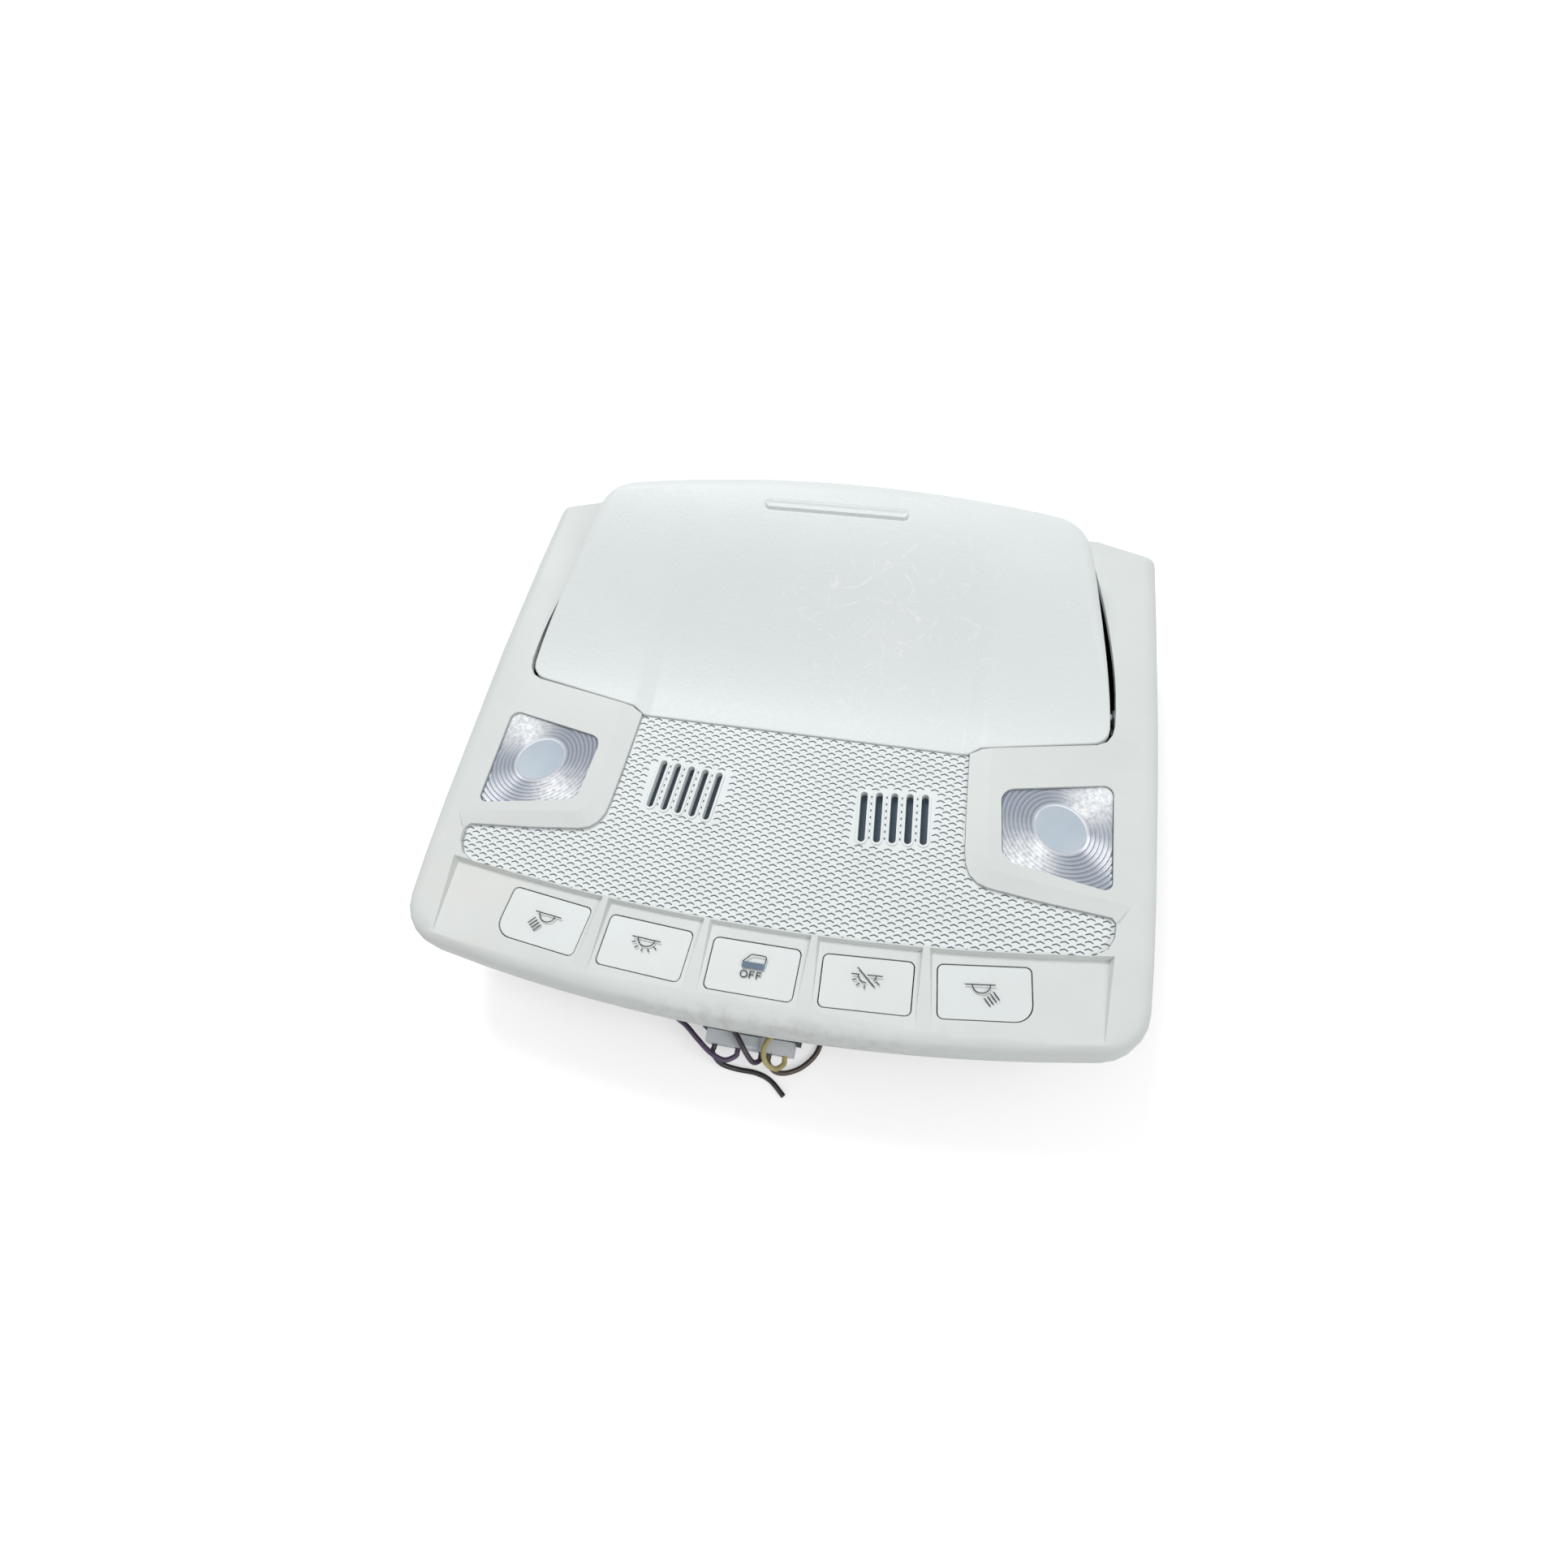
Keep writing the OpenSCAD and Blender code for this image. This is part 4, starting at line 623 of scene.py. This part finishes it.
def door_grid(inner):
    """The door as rows of points from its rear edge to its front edge, or its inside when inner is the wall: plan
    places between a curved rear edge, a front edge that steps back beside the grille and sides that draw in, with a
    rolled edge that falls by a quarter round and a skirt that flares out by 8 %."""
    spans = [(0, 21, 2.0), (21.5, 25, 0.3), (26, 50, 2.0), (50, 57, 0.5)]
    middle = np.concatenate([np.arange(*span) for span in spans])
    edge = np.array([8.5, 7.2, 6, 5, 4.1, 3.3, 2.6, 2, 1.5, 1.05, 0.7, 0.4, 0.18, 0.05, 0, 0, 0, 0])
    side_down = np.concatenate([np.zeros(len(middle) + 8 + len(edge) - 3), [0.33, 0.67, 1.0]])
    gap = np.concatenate([[0, 0, 0], [0, 0.05, 0.18, 0.4, 0.7, 1.05, 1.5, 2, 2.6, 3.3, 4.1, 5, 6, 7, 8, 8.8],
                          np.arange(9.4, 14.7, 0.2), np.arange(16, 76, 1.5),
                          [76.4, 77.2, 77.9, 78.5, 79, 79.4, 79.6, 79.75, 79.9, 80], [80, 80]])[:, None]
    row_down = np.concatenate([[1.0, 0.67, 0.33], np.zeros(len(gap) - 5), [0.5, 1.0]])[:, None]
    v = 1 - gap / 80
    half = DOOR_HALF - 14.6 * (np.maximum(0.0, 70 * v - 1.5) / 70) ** 1.5 - inner
    half = half - rounded_off(gap * 0.9, 9.0) - rounded_off((80 - gap) * 0.9, 5.0)
    near = half - 8.5
    between = 56.5 + (near - 56.5) * np.arange(1, 9) / 9
    x = np.hstack([np.broadcast_to(middle, (len(gap), len(middle))), between, half - edge])
    front = np.where(x < 53.3, 69.6, np.where(x < 56.5, 69.8 + (x - 53.3) * 0.625, 71.8 + (x - 56.5) * 0.181))
    y = front + inner + (156 - x * x / 860 - front - 2 * inner) * v
    roll = np.maximum(0.15, 0.8 + 4.7 * ease((y - 85) / 45) - inner)
    q = np.minimum(roll, np.hypot(np.maximum(0.0, roll - (half - x)), np.maximum(0.0, roll - gap)))
    top = door_height(x, y) - inner - (roll - np.sqrt(np.maximum(0.0, roll**2 - q**2)))
    if inner == 0:
        top = top - rounded_off(80 - gap, 0.5) + finger_loop(x, y)
    lip = np.minimum(door_height(x, y), door_height(np.full_like(x, 90.0), y)) - 3
    low = np.minimum(lip, lip - (lip + 5.8) * ease((y - 98) / 18))
    z = top + (np.minimum(top, low) - top) * np.maximum(row_down, side_down)
    flare = 0.08 * (top - z)
    x = x + flare * side_down
    y = y + flare * np.where(gap == 0, row_down, -row_down)
    half_sheet = np.stack([x, y, z], -1)
    other = half_sheet[:, :0:-1] * [-1, 1, 1]
    return np.concatenate([other, half_sheet], 1)


def closed_shell(name, points, faces, body, material, sharp=30.0):
    """A mesh object whose doubles are merged and whose faces are turned outwards."""
    obj = mesh_object(name, points, faces, body, material, sharp=sharp)
    b = bmesh.new()
    b.from_mesh(obj.data)
    bmesh.ops.remove_doubles(b, verts=b.verts, dist=0.004 * MM)
    bmesh.ops.recalc_face_normals(b, faces=b.faces)
    b.to_mesh(obj.data)
    b.free()
    obj.data.shade_smooth()
    obj.data.set_sharp_from_angle(angle=math.radians(sharp))
    return obj


def grid_faces(rows, cols, start=0):
    """Quads of a grid of points."""
    i, j = np.meshgrid(np.arange(rows - 1), np.arange(cols - 1), indexing="ij")
    a = (start + i * cols + j).ravel()
    return np.column_stack([a, a + cols, a + cols + 1, a + 1])


def door_shell():
    """The door's outer and inner sheets, joined round their rim."""
    outer, inner = door_grid(0.0), door_grid(DOOR_WALL)
    rows, cols = outer.shape[:2]
    total = rows * cols
    index = np.arange(total).reshape(rows, cols)
    rim = np.concatenate([index[0, :-1], index[:-1, -1], index[-1, :0:-1], index[:0:-1, 0]])
    after = np.roll(rim, -1)
    faces = np.vstack([grid_faces(rows, cols), grid_faces(rows, cols, total)[:, ::-1],
                       np.column_stack([rim, after, after + total, rim + total])])
    points = here(np.vstack([outer.reshape(-1, 3), inner.reshape(-1, 3)]))
    obj = closed_shell("door_skin", points, faces, "door", door_abs, 32.0)
    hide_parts("door_panel")
    return obj


def spun(profile, at, axis, turns=40):
    """A ring: the closed (radius, height) profile turned about an axis, "x" or "z", through a plan point."""
    a = np.arange(turns) * 2 * math.pi / turns
    p = np.asarray(profile, float)
    u, w, h = {"x": np.eye(3)[[1, 2, 0]], "z": np.eye(3)}[axis]
    round_ = np.cos(a)[:, None] * u + np.sin(a)[:, None] * w
    points = np.asarray(at, float) + p[:, None, :1] * round_ + p[:, None, 1:] * h
    n = len(p)
    i, k = np.meshgrid(np.arange(n), np.arange(turns), indexing="ij")
    i1, k1 = (i + 1) % n, (k + 1) % turns
    faces = np.stack([i * turns + k, i1 * turns + k, i1 * turns + k1, i * turns + k1], -1).reshape(-1, 4)
    return points.reshape(-1, 3), faces


def door_fittings():
    """Hinge bosses and tub posts under the door, each a bored ring with a small chamfer."""
    parts = []
    for side in (-1, 1):
        boss = [[1.55, 0], [3.0, 0], [3.3, 0.3], [3.3, 6.2], [3.0, 6.5], [1.55, 6.5]]
        parts.append(spun(boss, [82.0 if side > 0 else -88.5, 90, -5], "x"))
        for y in (103, 134):
            top = float(door_height(np.float64(62), np.float64(y))) - 1.2
            post = [[1.5, -2.2], [2.8, -2.2], [3.0, -2.0], [3.0, top], [0.05, top], [0.05, 1.2], [1.5, 1.2]]
            parts.append(spun(post, [62 * side, y, 0], "z"))
    points, faces, count = [], [], 0
    for pts, fcs in parts:
        points.append(pts)
        faces.append(fcs + count)
        count += len(pts)
    return closed_shell("door_fittings", here(np.vstack(points)), np.vstack(faces), "door", door_abs)


door_skin = door_shell()
door_fittings()


# Grille panel with its chevron dimples
def inside(polygon, x, y):
    """Whether a plan point lies in a polygon."""
    hit = False
    for (x0, y0), (x1, y1) in zip(polygon, polygon[1:] + polygon[:1]):
        if (y0 > y) != (y1 > y) and x < x0 + (y - y0) * (x1 - x0) / (y1 - y0):
            hit = not hit
    return hit


SLOT_AT = (33.3, 45.4)
SLOT_LEAN = 5.2
SLOT_PITCH = 4.7
half = [[53.5, 69.3], [54.9, 50], [56, 38], [56.6, 32], [59, 28.6], [64, 27.4], [80, 25.5], [90, 24.7], [99.6, 23.8]]
half += [[100.9, 22.4], [100.8, 18], [99, 14], [95, 11.4]] + [[x, 5 + x * x / 1330] for x in range(84, 0, -12)]
GRILLE = half + [[-x, y] for x, y in reversed(half)]


def slot_reach(x, y):
    """How far a plan point lies from the nearest slot's middle line, in mm."""
    u = turned([[abs(x) - SLOT_AT[0], y - SLOT_AT[1]]], -SLOT_LEAN)[0]
    across = min(abs(u[0] - SLOT_PITCH * k) for k in range(-2, 3))
    return math.hypot(across, max(0.0, abs(u[1]) - 7.15))


def prisms(outlines, top, low, shrink=0.82):
    """Closed six-sided prisms that narrow towards their floor, as row frame points and faces."""
    points, faces = [], []
    for n, outline in enumerate(outlines):
        middle = outline.mean(0)
        points.append(np.column_stack([middle + (outline - middle) * 1.04, np.full(6, top)]))
        points.append(np.column_stack([middle + (outline - middle) * shrink, np.full(6, low)]))
        a = 12 * n
        faces += [[a, a + 1, a + 4, a + 5], [a + 1, a + 2, a + 3, a + 4]]
        faces += [[a + 11, a + 10, a + 7, a + 6], [a + 10, a + 9, a + 8, a + 7]]
        faces += [[a + (i + 1) % 6, a + i, a + 6 + i, a + 6 + (i + 1) % 6] for i in range(6)]
    return here(np.vstack(points)), faces


def grille_cutters():
    """Chevrons on the staggered lattice, and a row of dots between the rims of neighbouring slots."""
    chevron = np.array([[-1.3, -1.0], [0.0, -0.52], [1.3, -1.0], [1.3, -0.56], [0.0, -0.02], [-1.3, -0.56]])
    dot = np.array([[-0.22, -0.4], [0.0, -0.45], [0.22, -0.4], [0.22, 0.4], [0.0, 0.45], [-0.22, 0.4]])
    outlines = []
    for row in range(60):
        for column in range(-23, 24):
            x = 4.5 * column - 0.5 + (2.25 if row % 2 else 0.0)
            y = 1.125 * row + 2.95
            if inside(GRILLE, x, y - 0.5) and min(slot_reach(x + d, y - 0.5) for d in (-1.3, 0, 1.3)) > 2.1:
                outlines.append(chevron + [x, y])
    for side in (-1, 1):
        for k in (-1.5, -0.5, 0.5, 1.5):
            for step in range(-3, 4):
                place = turned([[k * SLOT_PITCH, 2.25 * step]], SLOT_LEAN)[0]
                shape = turned(dot, SLOT_LEAN) + place + np.array(SLOT_AT)
                outlines.append(shape if side > 0 else (shape * [-1, 1])[::-1])
    return prisms(outlines, -1.8, -2.42)


def dimpled_grille():
    """The grille panel with real dimples, whose faces take a painted shade that deepens with their depth."""
    skin = refined("grille_panel", "root", grille_abs, 0.0, even=False)
    skin.parent = None
    cut_away(skin, *grille_cutters())
    mesh = skin.data
    co = np.zeros(len(mesh.vertices) * 3)
    mesh.vertices.foreach_get("co", co)
    depth = np.clip((FACE - 2.0 - co[2::3] / MM) / 0.42, 0.0, 1.0) * (co[2::3] / MM > FACE - 2.5)
    low = mesh.attributes.new("dimple", "FLOAT", "POINT")
    low.data.foreach_set("value", depth.astype(np.float32))
    paint(skin, dimple_abs)
    mesh.shade_flat()
    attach(skin, "root")
    return skin


def dimple_painted_shade(n, tone):
    """Painted shade: a grey that deepens down into the dimples."""
    depth = n.add("Attribute", {"attribute_name": "dimple"}).outputs[2]
    return n.tint(depth, tone, colour("#79848a"))


# Grille ABS with painted shade down in its dimples, which draws the chevrons
dimple_abs = plastic("dimple_abs", "#e4e9e9", "#e0e6e6", 0.48, 0.3, 0.01, 18.0, wear_and_shade=dimple_painted_shade)
dimpled_grille()


# Lenses with their concentric prisms
LENS_CORNERS = [[64.3, 58.9, 4], [67, 36.3, 5], [99.2, 30.9, 2.5], [97.2, 64.9, 3]]
LENS_AT = np.array([83.0, 48.8])
LENS_TURN = 140.0
DISC = (8.0, 6.6)
PRISM = 1.15


def lens_boundary(angle):
    """Distance from the lens middle to the window's edge in a direction, in mm."""
    c = np.array([p[:2] for p in LENS_CORNERS], float)
    d = np.array([math.cos(angle), math.sin(angle)])
    best = 99.0
    for a, b in zip(c, np.roll(c, -1, 0)):
        e = b - a
        cross = d[0] * e[1] - d[1] * e[0]
        if abs(cross) > 1e-9:
            t = ((a - LENS_AT)[0] * e[1] - (a - LENS_AT)[1] * e[0]) / cross
            u = ((a - LENS_AT)[0] * d[1] - (a - LENS_AT)[1] * d[0]) / cross
            if t > 0 and -1e-6 <= u <= 1 + 1e-6:
                best = min(best, t)
    for (x, y, r), before, after in zip(LENS_CORNERS, np.roll(c, 1, 0), np.roll(c, -1, 0)):
        corner = np.array([x, y], float)
        u, w = (before - corner) / np.linalg.norm(before - corner), (after - corner) / np.linalg.norm(after - corner)
        half_angle = math.acos(float(u @ w)) / 2
        middle = corner + (u + w) / np.linalg.norm(u + w) * r / math.sin(half_angle) - LENS_AT
        reach = r / math.tan(half_angle)
        hit = best * d + LENS_AT - corner
        if np.linalg.norm(hit) < reach:
            along = float(middle @ d)
            best = min(best, along + math.sqrt(max(0.0, r * r - (float(middle @ middle) - along * along))))
    return best - 0.25


# Directions in degrees of the painted highlight fans and of the brightest side of the painted highlight ring
PAINTED_FAN_TURN = 52.0
PAINTED_LIP_TURN = 60.0


def mark(mesh, name, values):
    """Stores one number for each point of a mesh, for its material to read."""
    layer = mesh.attributes.new(name, "FLOAT", "POINT")
    layer.data.foreach_set("value", np.asarray(values, np.float32))


def oval_share(points, side):
    """Row frame points as their distance from the lens middle, where 1 is the oval's edge, and their direction."""
    d = (points - here([[side * LENS_AT[0], LENS_AT[1], 0]])[0])[:, :2] / MM * [side, 1]
    ray = np.arctan2(d[:, 1], d[:, 0])
    a = ray - math.radians(LENS_TURN)
    oval = DISC[0] / np.sqrt(np.cos(a) ** 2 + (DISC[0] / DISC[1]) ** 2 * np.sin(a) ** 2)
    return np.hypot(d[:, 0], d[:, 1]) / oval, ray


def lens_skin(side):
    """A lens whose face is a frosted oval ringed by sawtooth prisms, closed below by a flat back."""
    turns = 240
    steps = np.concatenate([[0.0], np.linspace(0.15, 1.0, 10) * DISC[1], DISC[1] + 0.12 + 0.23 * np.arange(1, 118)])
    angles = np.arange(turns) * 2 * math.pi / turns
    edge = np.array([lens_boundary(a) for a in angles])
    turn = math.radians(LENS_TURN)
    oval = DISC[0] / np.sqrt(np.cos(angles - turn) ** 2 + (DISC[0] / DISC[1]) ** 2 * np.sin(angles - turn) ** 2)
    reach = np.minimum(steps[:, None] * oval[None, :] / DISC[1], edge[None, :])
    tooth = np.mod(steps - DISC[1], PRISM) / PRISM
    height = np.where(steps <= DISC[1], -0.9 - 0.5 * (1 - (steps / DISC[1]) ** 2), -1.15 + 0.35 * tooth)
    z = np.where(steps[:, None] * oval[None, :] / DISC[1] < edge[None, :], height[:, None], -0.95)
    x = LENS_AT[0] + reach * np.cos(angles)
    y = LENS_AT[1] + reach * np.sin(angles)
    rings = [np.column_stack([x[k], y[k], z[k]]) for k in range(len(steps))]
    rim = rings[-1].copy()
    rim[:, 2] = -3.9
    rings.append(rim)
    points = np.vstack([rings[0][:1]] + rings[1:] + [[[LENS_AT[0], LENS_AT[1], -3.9]]])
    count = len(rings) - 1
    base = 1 + turns * np.arange(count)
    k = np.arange(turns)
    after = (k + 1) % turns
    faces = [[0, 1 + i, 1 + (i + 1) % turns] for i in range(turns)]
    for a, b in zip(base[:-1], base[1:]):
        faces += np.column_stack([a + k, b + k, b + after, a + after]).tolist()
    last = base[-1]
    faces += [[last + (i + 1) % turns, last + i, len(points) - 1] for i in range(turns)]
    if side < 0:
        points = points * [-1, 1, 1]
        faces = [f[::-1] for f in faces]
    name = "lens_right" if side > 0 else "lens_left"
    obj = mesh_object(name + "_skin", here(points), faces, "root", lens_clear, sharp=25)
    b = bmesh.new()
    b.from_mesh(obj.data)
    bmesh.ops.remove_doubles(b, verts=b.verts, dist=0.01 * MM)
    b.to_mesh(obj.data)
    b.free()
    obj.data.materials.append(lens_frost)
    spot = np.zeros(3 * len(obj.data.vertices))
    obj.data.vertices.foreach_get("co", spot)
    out, ray = oval_share(spot.reshape(-1, 3), side)
    # Masks for the lens's painted light and shade: ring place for painted roots and crests, the painted highlight fans
    # and the painted highlight ring round the oval
    mark(obj.data, "prism", np.where(out > 1, np.mod((out - 1) * DISC[1], PRISM) / PRISM, 0.5))
    mark(obj.data, "fan", np.cos(ray - math.radians(PAINTED_FAN_TURN)) ** 4 * ease((out - 0.98) / 0.2))
    mark(obj.data, "lip", np.exp(-(((out - 1.04) / 0.06) ** 2)) * (0.55 + 0.45 * ease(np.cos(ray - math.radians(PAINTED_LIP_TURN)))))
    middle = np.zeros(3 * len(obj.data.polygons))
    obj.data.polygons.foreach_get("center", middle)
    middle = middle.reshape(-1, 3)
    frosted = (oval_share(middle, side)[0] < 0.985) & (middle[:, 2] > (FACE - 2) * MM)
    obj.data.polygons.foreach_set("material_index", frosted.astype(np.int32))
    obj.data.shade_smooth()
    obj.data.set_sharp_from_angle(angle=math.radians(20))
    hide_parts(name)
    return obj


for side in (-1, 1):
    lens_skin(side)


# Printed symbols on the buttons
def ribbon(path, width, top, low):
    """A flat band of ink along a path: plan points, and top and low levels in mm."""
    p = np.asarray(path, float)
    d = np.gradient(p, axis=0)
    d /= np.linalg.norm(d, axis=1)[:, None]
    side = np.column_stack([-d[:, 1], d[:, 0]]) * width / 2
    n = len(p)
    left, right = p + side, p - side
    points = np.vstack([np.column_stack([q, np.full(n, z)]) for z in (top, low) for q in (left, right)])
    a = np.arange(n - 1)
    quads = [[0, 1, n + 1, n], [3 * n, 3 * n + 1, 2 * n + 1, 2 * n]]
    quads += [[n, n + 1, 3 * n + 1, 3 * n], [2 * n, 2 * n + 1, 1, 0]]
    faces = [[q + i for q in f] for i in a for f in quads]
    faces += [[0, n, 3 * n, 2 * n], [2 * n - 1, n - 1, 3 * n - 1, 4 * n - 1]]
    return points, faces


def slab(outline, top, low):
    """A flat filled shape of ink."""
    p = np.asarray(outline, float)
    n = len(p)
    points = np.vstack([np.column_stack([p, np.full(n, top)]), np.column_stack([p, np.full(n, low)])])
    faces = [list(range(n)), list(range(2 * n - 1, n - 1, -1))]
    faces += [[i, n + i, n + (i + 1) % n, (i + 1) % n] for i in range(n)]
    return points, faces


def arc(cx, cy, rx, ry, start, end, n=18):
    """Points of an elliptical arc, with its angles in degrees."""
    t = np.radians(np.linspace(start, end, n))
    return np.column_stack([cx + rx * np.cos(t), cy + ry * np.sin(t)])


INK = 0.31
DOME = [arc(0.1, 2.5, 2.6, 2.25, 180, 360)]
RAYS = [[[-2.9, 1.2], [-4.1, 0.75]], [[-1.9, 0.1], [-2.8, -0.75]], [[-0.35, -0.45], [-0.5, -1.45]],
        [[1.3, -0.2], [1.75, -1.2]], [[2.7, 0.85], [3.8, 0.1]]]
BEAM = [[[-2.4 + 0.86 * i, 0.3 - 0.62 * i], [-4.1 + 0.86 * i, -2.0 - 0.62 * i]] for i in range(4)]
MAP_LAMP = [[[-3.1, 2.18], [5.5, 2.18]], arc(0.9, 2.1, 2.5, 2.35, 180, 360)] + BEAM
DOME_LAMP = [[[-4.45, 2.55], [4.5, 2.55]]] + DOME + RAYS
CROSSED = [[[-4.45, 2.55], [-2.15, 2.55]], [[0.1, 2.55], [4.5, 2.55]], arc(0.1, 2.5, 2.6, 2.25, 180, 268),
           arc(0.1, 2.5, 2.6, 2.25, 318, 360)] + [RAYS[0], RAYS[1], RAYS[2], RAYS[4]] + [[[-2.85, 4.6], [2.5, -0.8]]]
WINDOW = [[-3.15, 1.75], [-1.15, 3.85], [-0.75, 4.1], [3.1, 4.1], [3.5, 3.9], [3.6, 3.5], [3.45, 1.75]]
LETTER_O = arc(-2.15, -1.85, 1.0, 1.0, 90, 450, 28)
LETTER_F = [[[-0.4, -0.8], [-0.4, -2.95]], [[-0.42, -0.95], [0.95, -0.95]], [[-0.42, -1.85], [0.8, -1.85]]]
SYMBOLS = {
    "button_map_left": (-2, MAP_LAMP),
    "button_dome_on": (-1, DOME_LAMP),
    "button_door_off": (0, [WINDOW, LETTER_O] + LETTER_F + [np.array(line) + [2.1, 0] for line in LETTER_F]),
    "button_lamps_off": (1, CROSSED),
    "button_map_right": (2, [np.array(line) * [-1, 1] for line in MAP_LAMP]),
}


def button_symbol(name, step, lines):
    """The ink of one button's symbol, printed on its cap and turned with the button's place on the arc."""
    top = (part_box(name)[1].z / MM) - FACE
    level, low = top + 0.025, top - 0.05

    def placed(shapes, label, ink):
        points, faces, count = [], [], 0
        for pts, fcs in shapes:
            flat = by_button(pts[:, :2], step)
            points.append(np.column_stack([flat, pts[:, 2]]))
            faces += [[count + v for v in f] for f in fcs]
            count += len(pts)
        return mesh_object(label, here(np.vstack(points)), faces, name + "_body", ink, flat=True)

    drawn = [placed([ribbon(line, INK, level, low) for line in lines], name + "_symbol", symbol_ink)]
    if step == 0:
        panel = [[-3.2, 1.8], [-3.25, 0.2], [-3.05, -0.1], [3.2, -0.1], [3.4, 0.2], [3.5, 1.8]]
        drawn.append(placed([slab(panel[::-1], level, low)], name + "_panel", door_symbol_ink))
    return drawn


for name, (step, lines) in SYMBOLS.items():
    button_symbol(name, step, lines)


# Floor, world and lamps
def studio():
    """A plain pale floor, a white world that shows in reflections, and soft lamps."""
    n = Nodes("floor_paper")
    shows = n.add("LightPath")
    n.put(n.shader, "Base Color", (0.93, 0.93, 0.93, 1.0))
    n.put(n.shader, "Roughness", 0.95)
    n.put(n.shader, "Specular IOR Level", 0.0)
    n.put(n.shader, "Emission Color", (1.0, 1.0, 1.0, 1.0))
    n.put(n.shader, "Emission Strength", n.times(shows.outputs["Is Camera Ray"], 0.42))
    points = np.array([[-6, -6, 0], [6, -6, 0], [6, 6, 0], [-6, 6, 0]], float) - [0, 0, 0.0002]
    mesh = bpy.data.meshes.new("floor")
    mesh.from_pydata(points.tolist(), [], [[0, 1, 2, 3]])
    floor = bpy.data.objects.new("floor", mesh)
    bpy.context.collection.objects.link(floor)
    floor.data.materials.append(n.material)

    world = bpy.data.worlds.new("white_room")
    world.use_nodes = True
    tree = world.node_tree
    back = tree.nodes["Background"]
    back.inputs["Color"].default_value = (1.0, 1.0, 1.0, 1.0)
    path = tree.nodes.new("ShaderNodeLightPath")
    total = None
    for ray in ("Is Camera Ray", "Is Glossy Ray", "Is Transmission Ray"):
        if total is None:
            total = path.outputs[ray]
            continue
        either = tree.nodes.new("ShaderNodeMath")
        either.operation = "MAXIMUM"
        tree.links.new(total, either.inputs[0])
        tree.links.new(path.outputs[ray], either.inputs[1])
        total = either.outputs[0]
    level = tree.nodes.new("ShaderNodeMapRange")
    level.inputs["To Min"].default_value = 0.44
    level.inputs["To Max"].default_value = 1.0
    tree.links.new(total, level.inputs["Value"])
    tree.links.new(level.outputs[0], back.inputs["Strength"])
    bpy.context.scene.world = world

    def lamp(name, place, size, watts, target=(0, 0, 0.03)):
        data = bpy.data.lights.new(name, "AREA")
        data.shape = "SQUARE"
        data.size = size
        data.energy = watts
        obj = bpy.data.objects.new(name, data)
        bpy.context.collection.objects.link(obj)
        ahead = np.array(target, float) - place
        ahead /= np.linalg.norm(ahead)
        side = np.cross(ahead, [0, 0, 1])
        side /= np.linalg.norm(side)
        turn = np.eye(4)
        turn[:3, 0], turn[:3, 1], turn[:3, 2] = side, np.cross(side, ahead), -ahead
        turn[:3, 3] = place
        obj.matrix_world = Matrix(turn.tolist())

    lamp("key_lamp", np.array([-0.75, 1.3, 2.0]), 0.8, 30.0)
    lamp("fill_lamp", np.array([1.4, -0.7, 1.8]), 1.2, 16.0)


studio()
bpy.context.scene.view_settings.view_transform = "Standard"
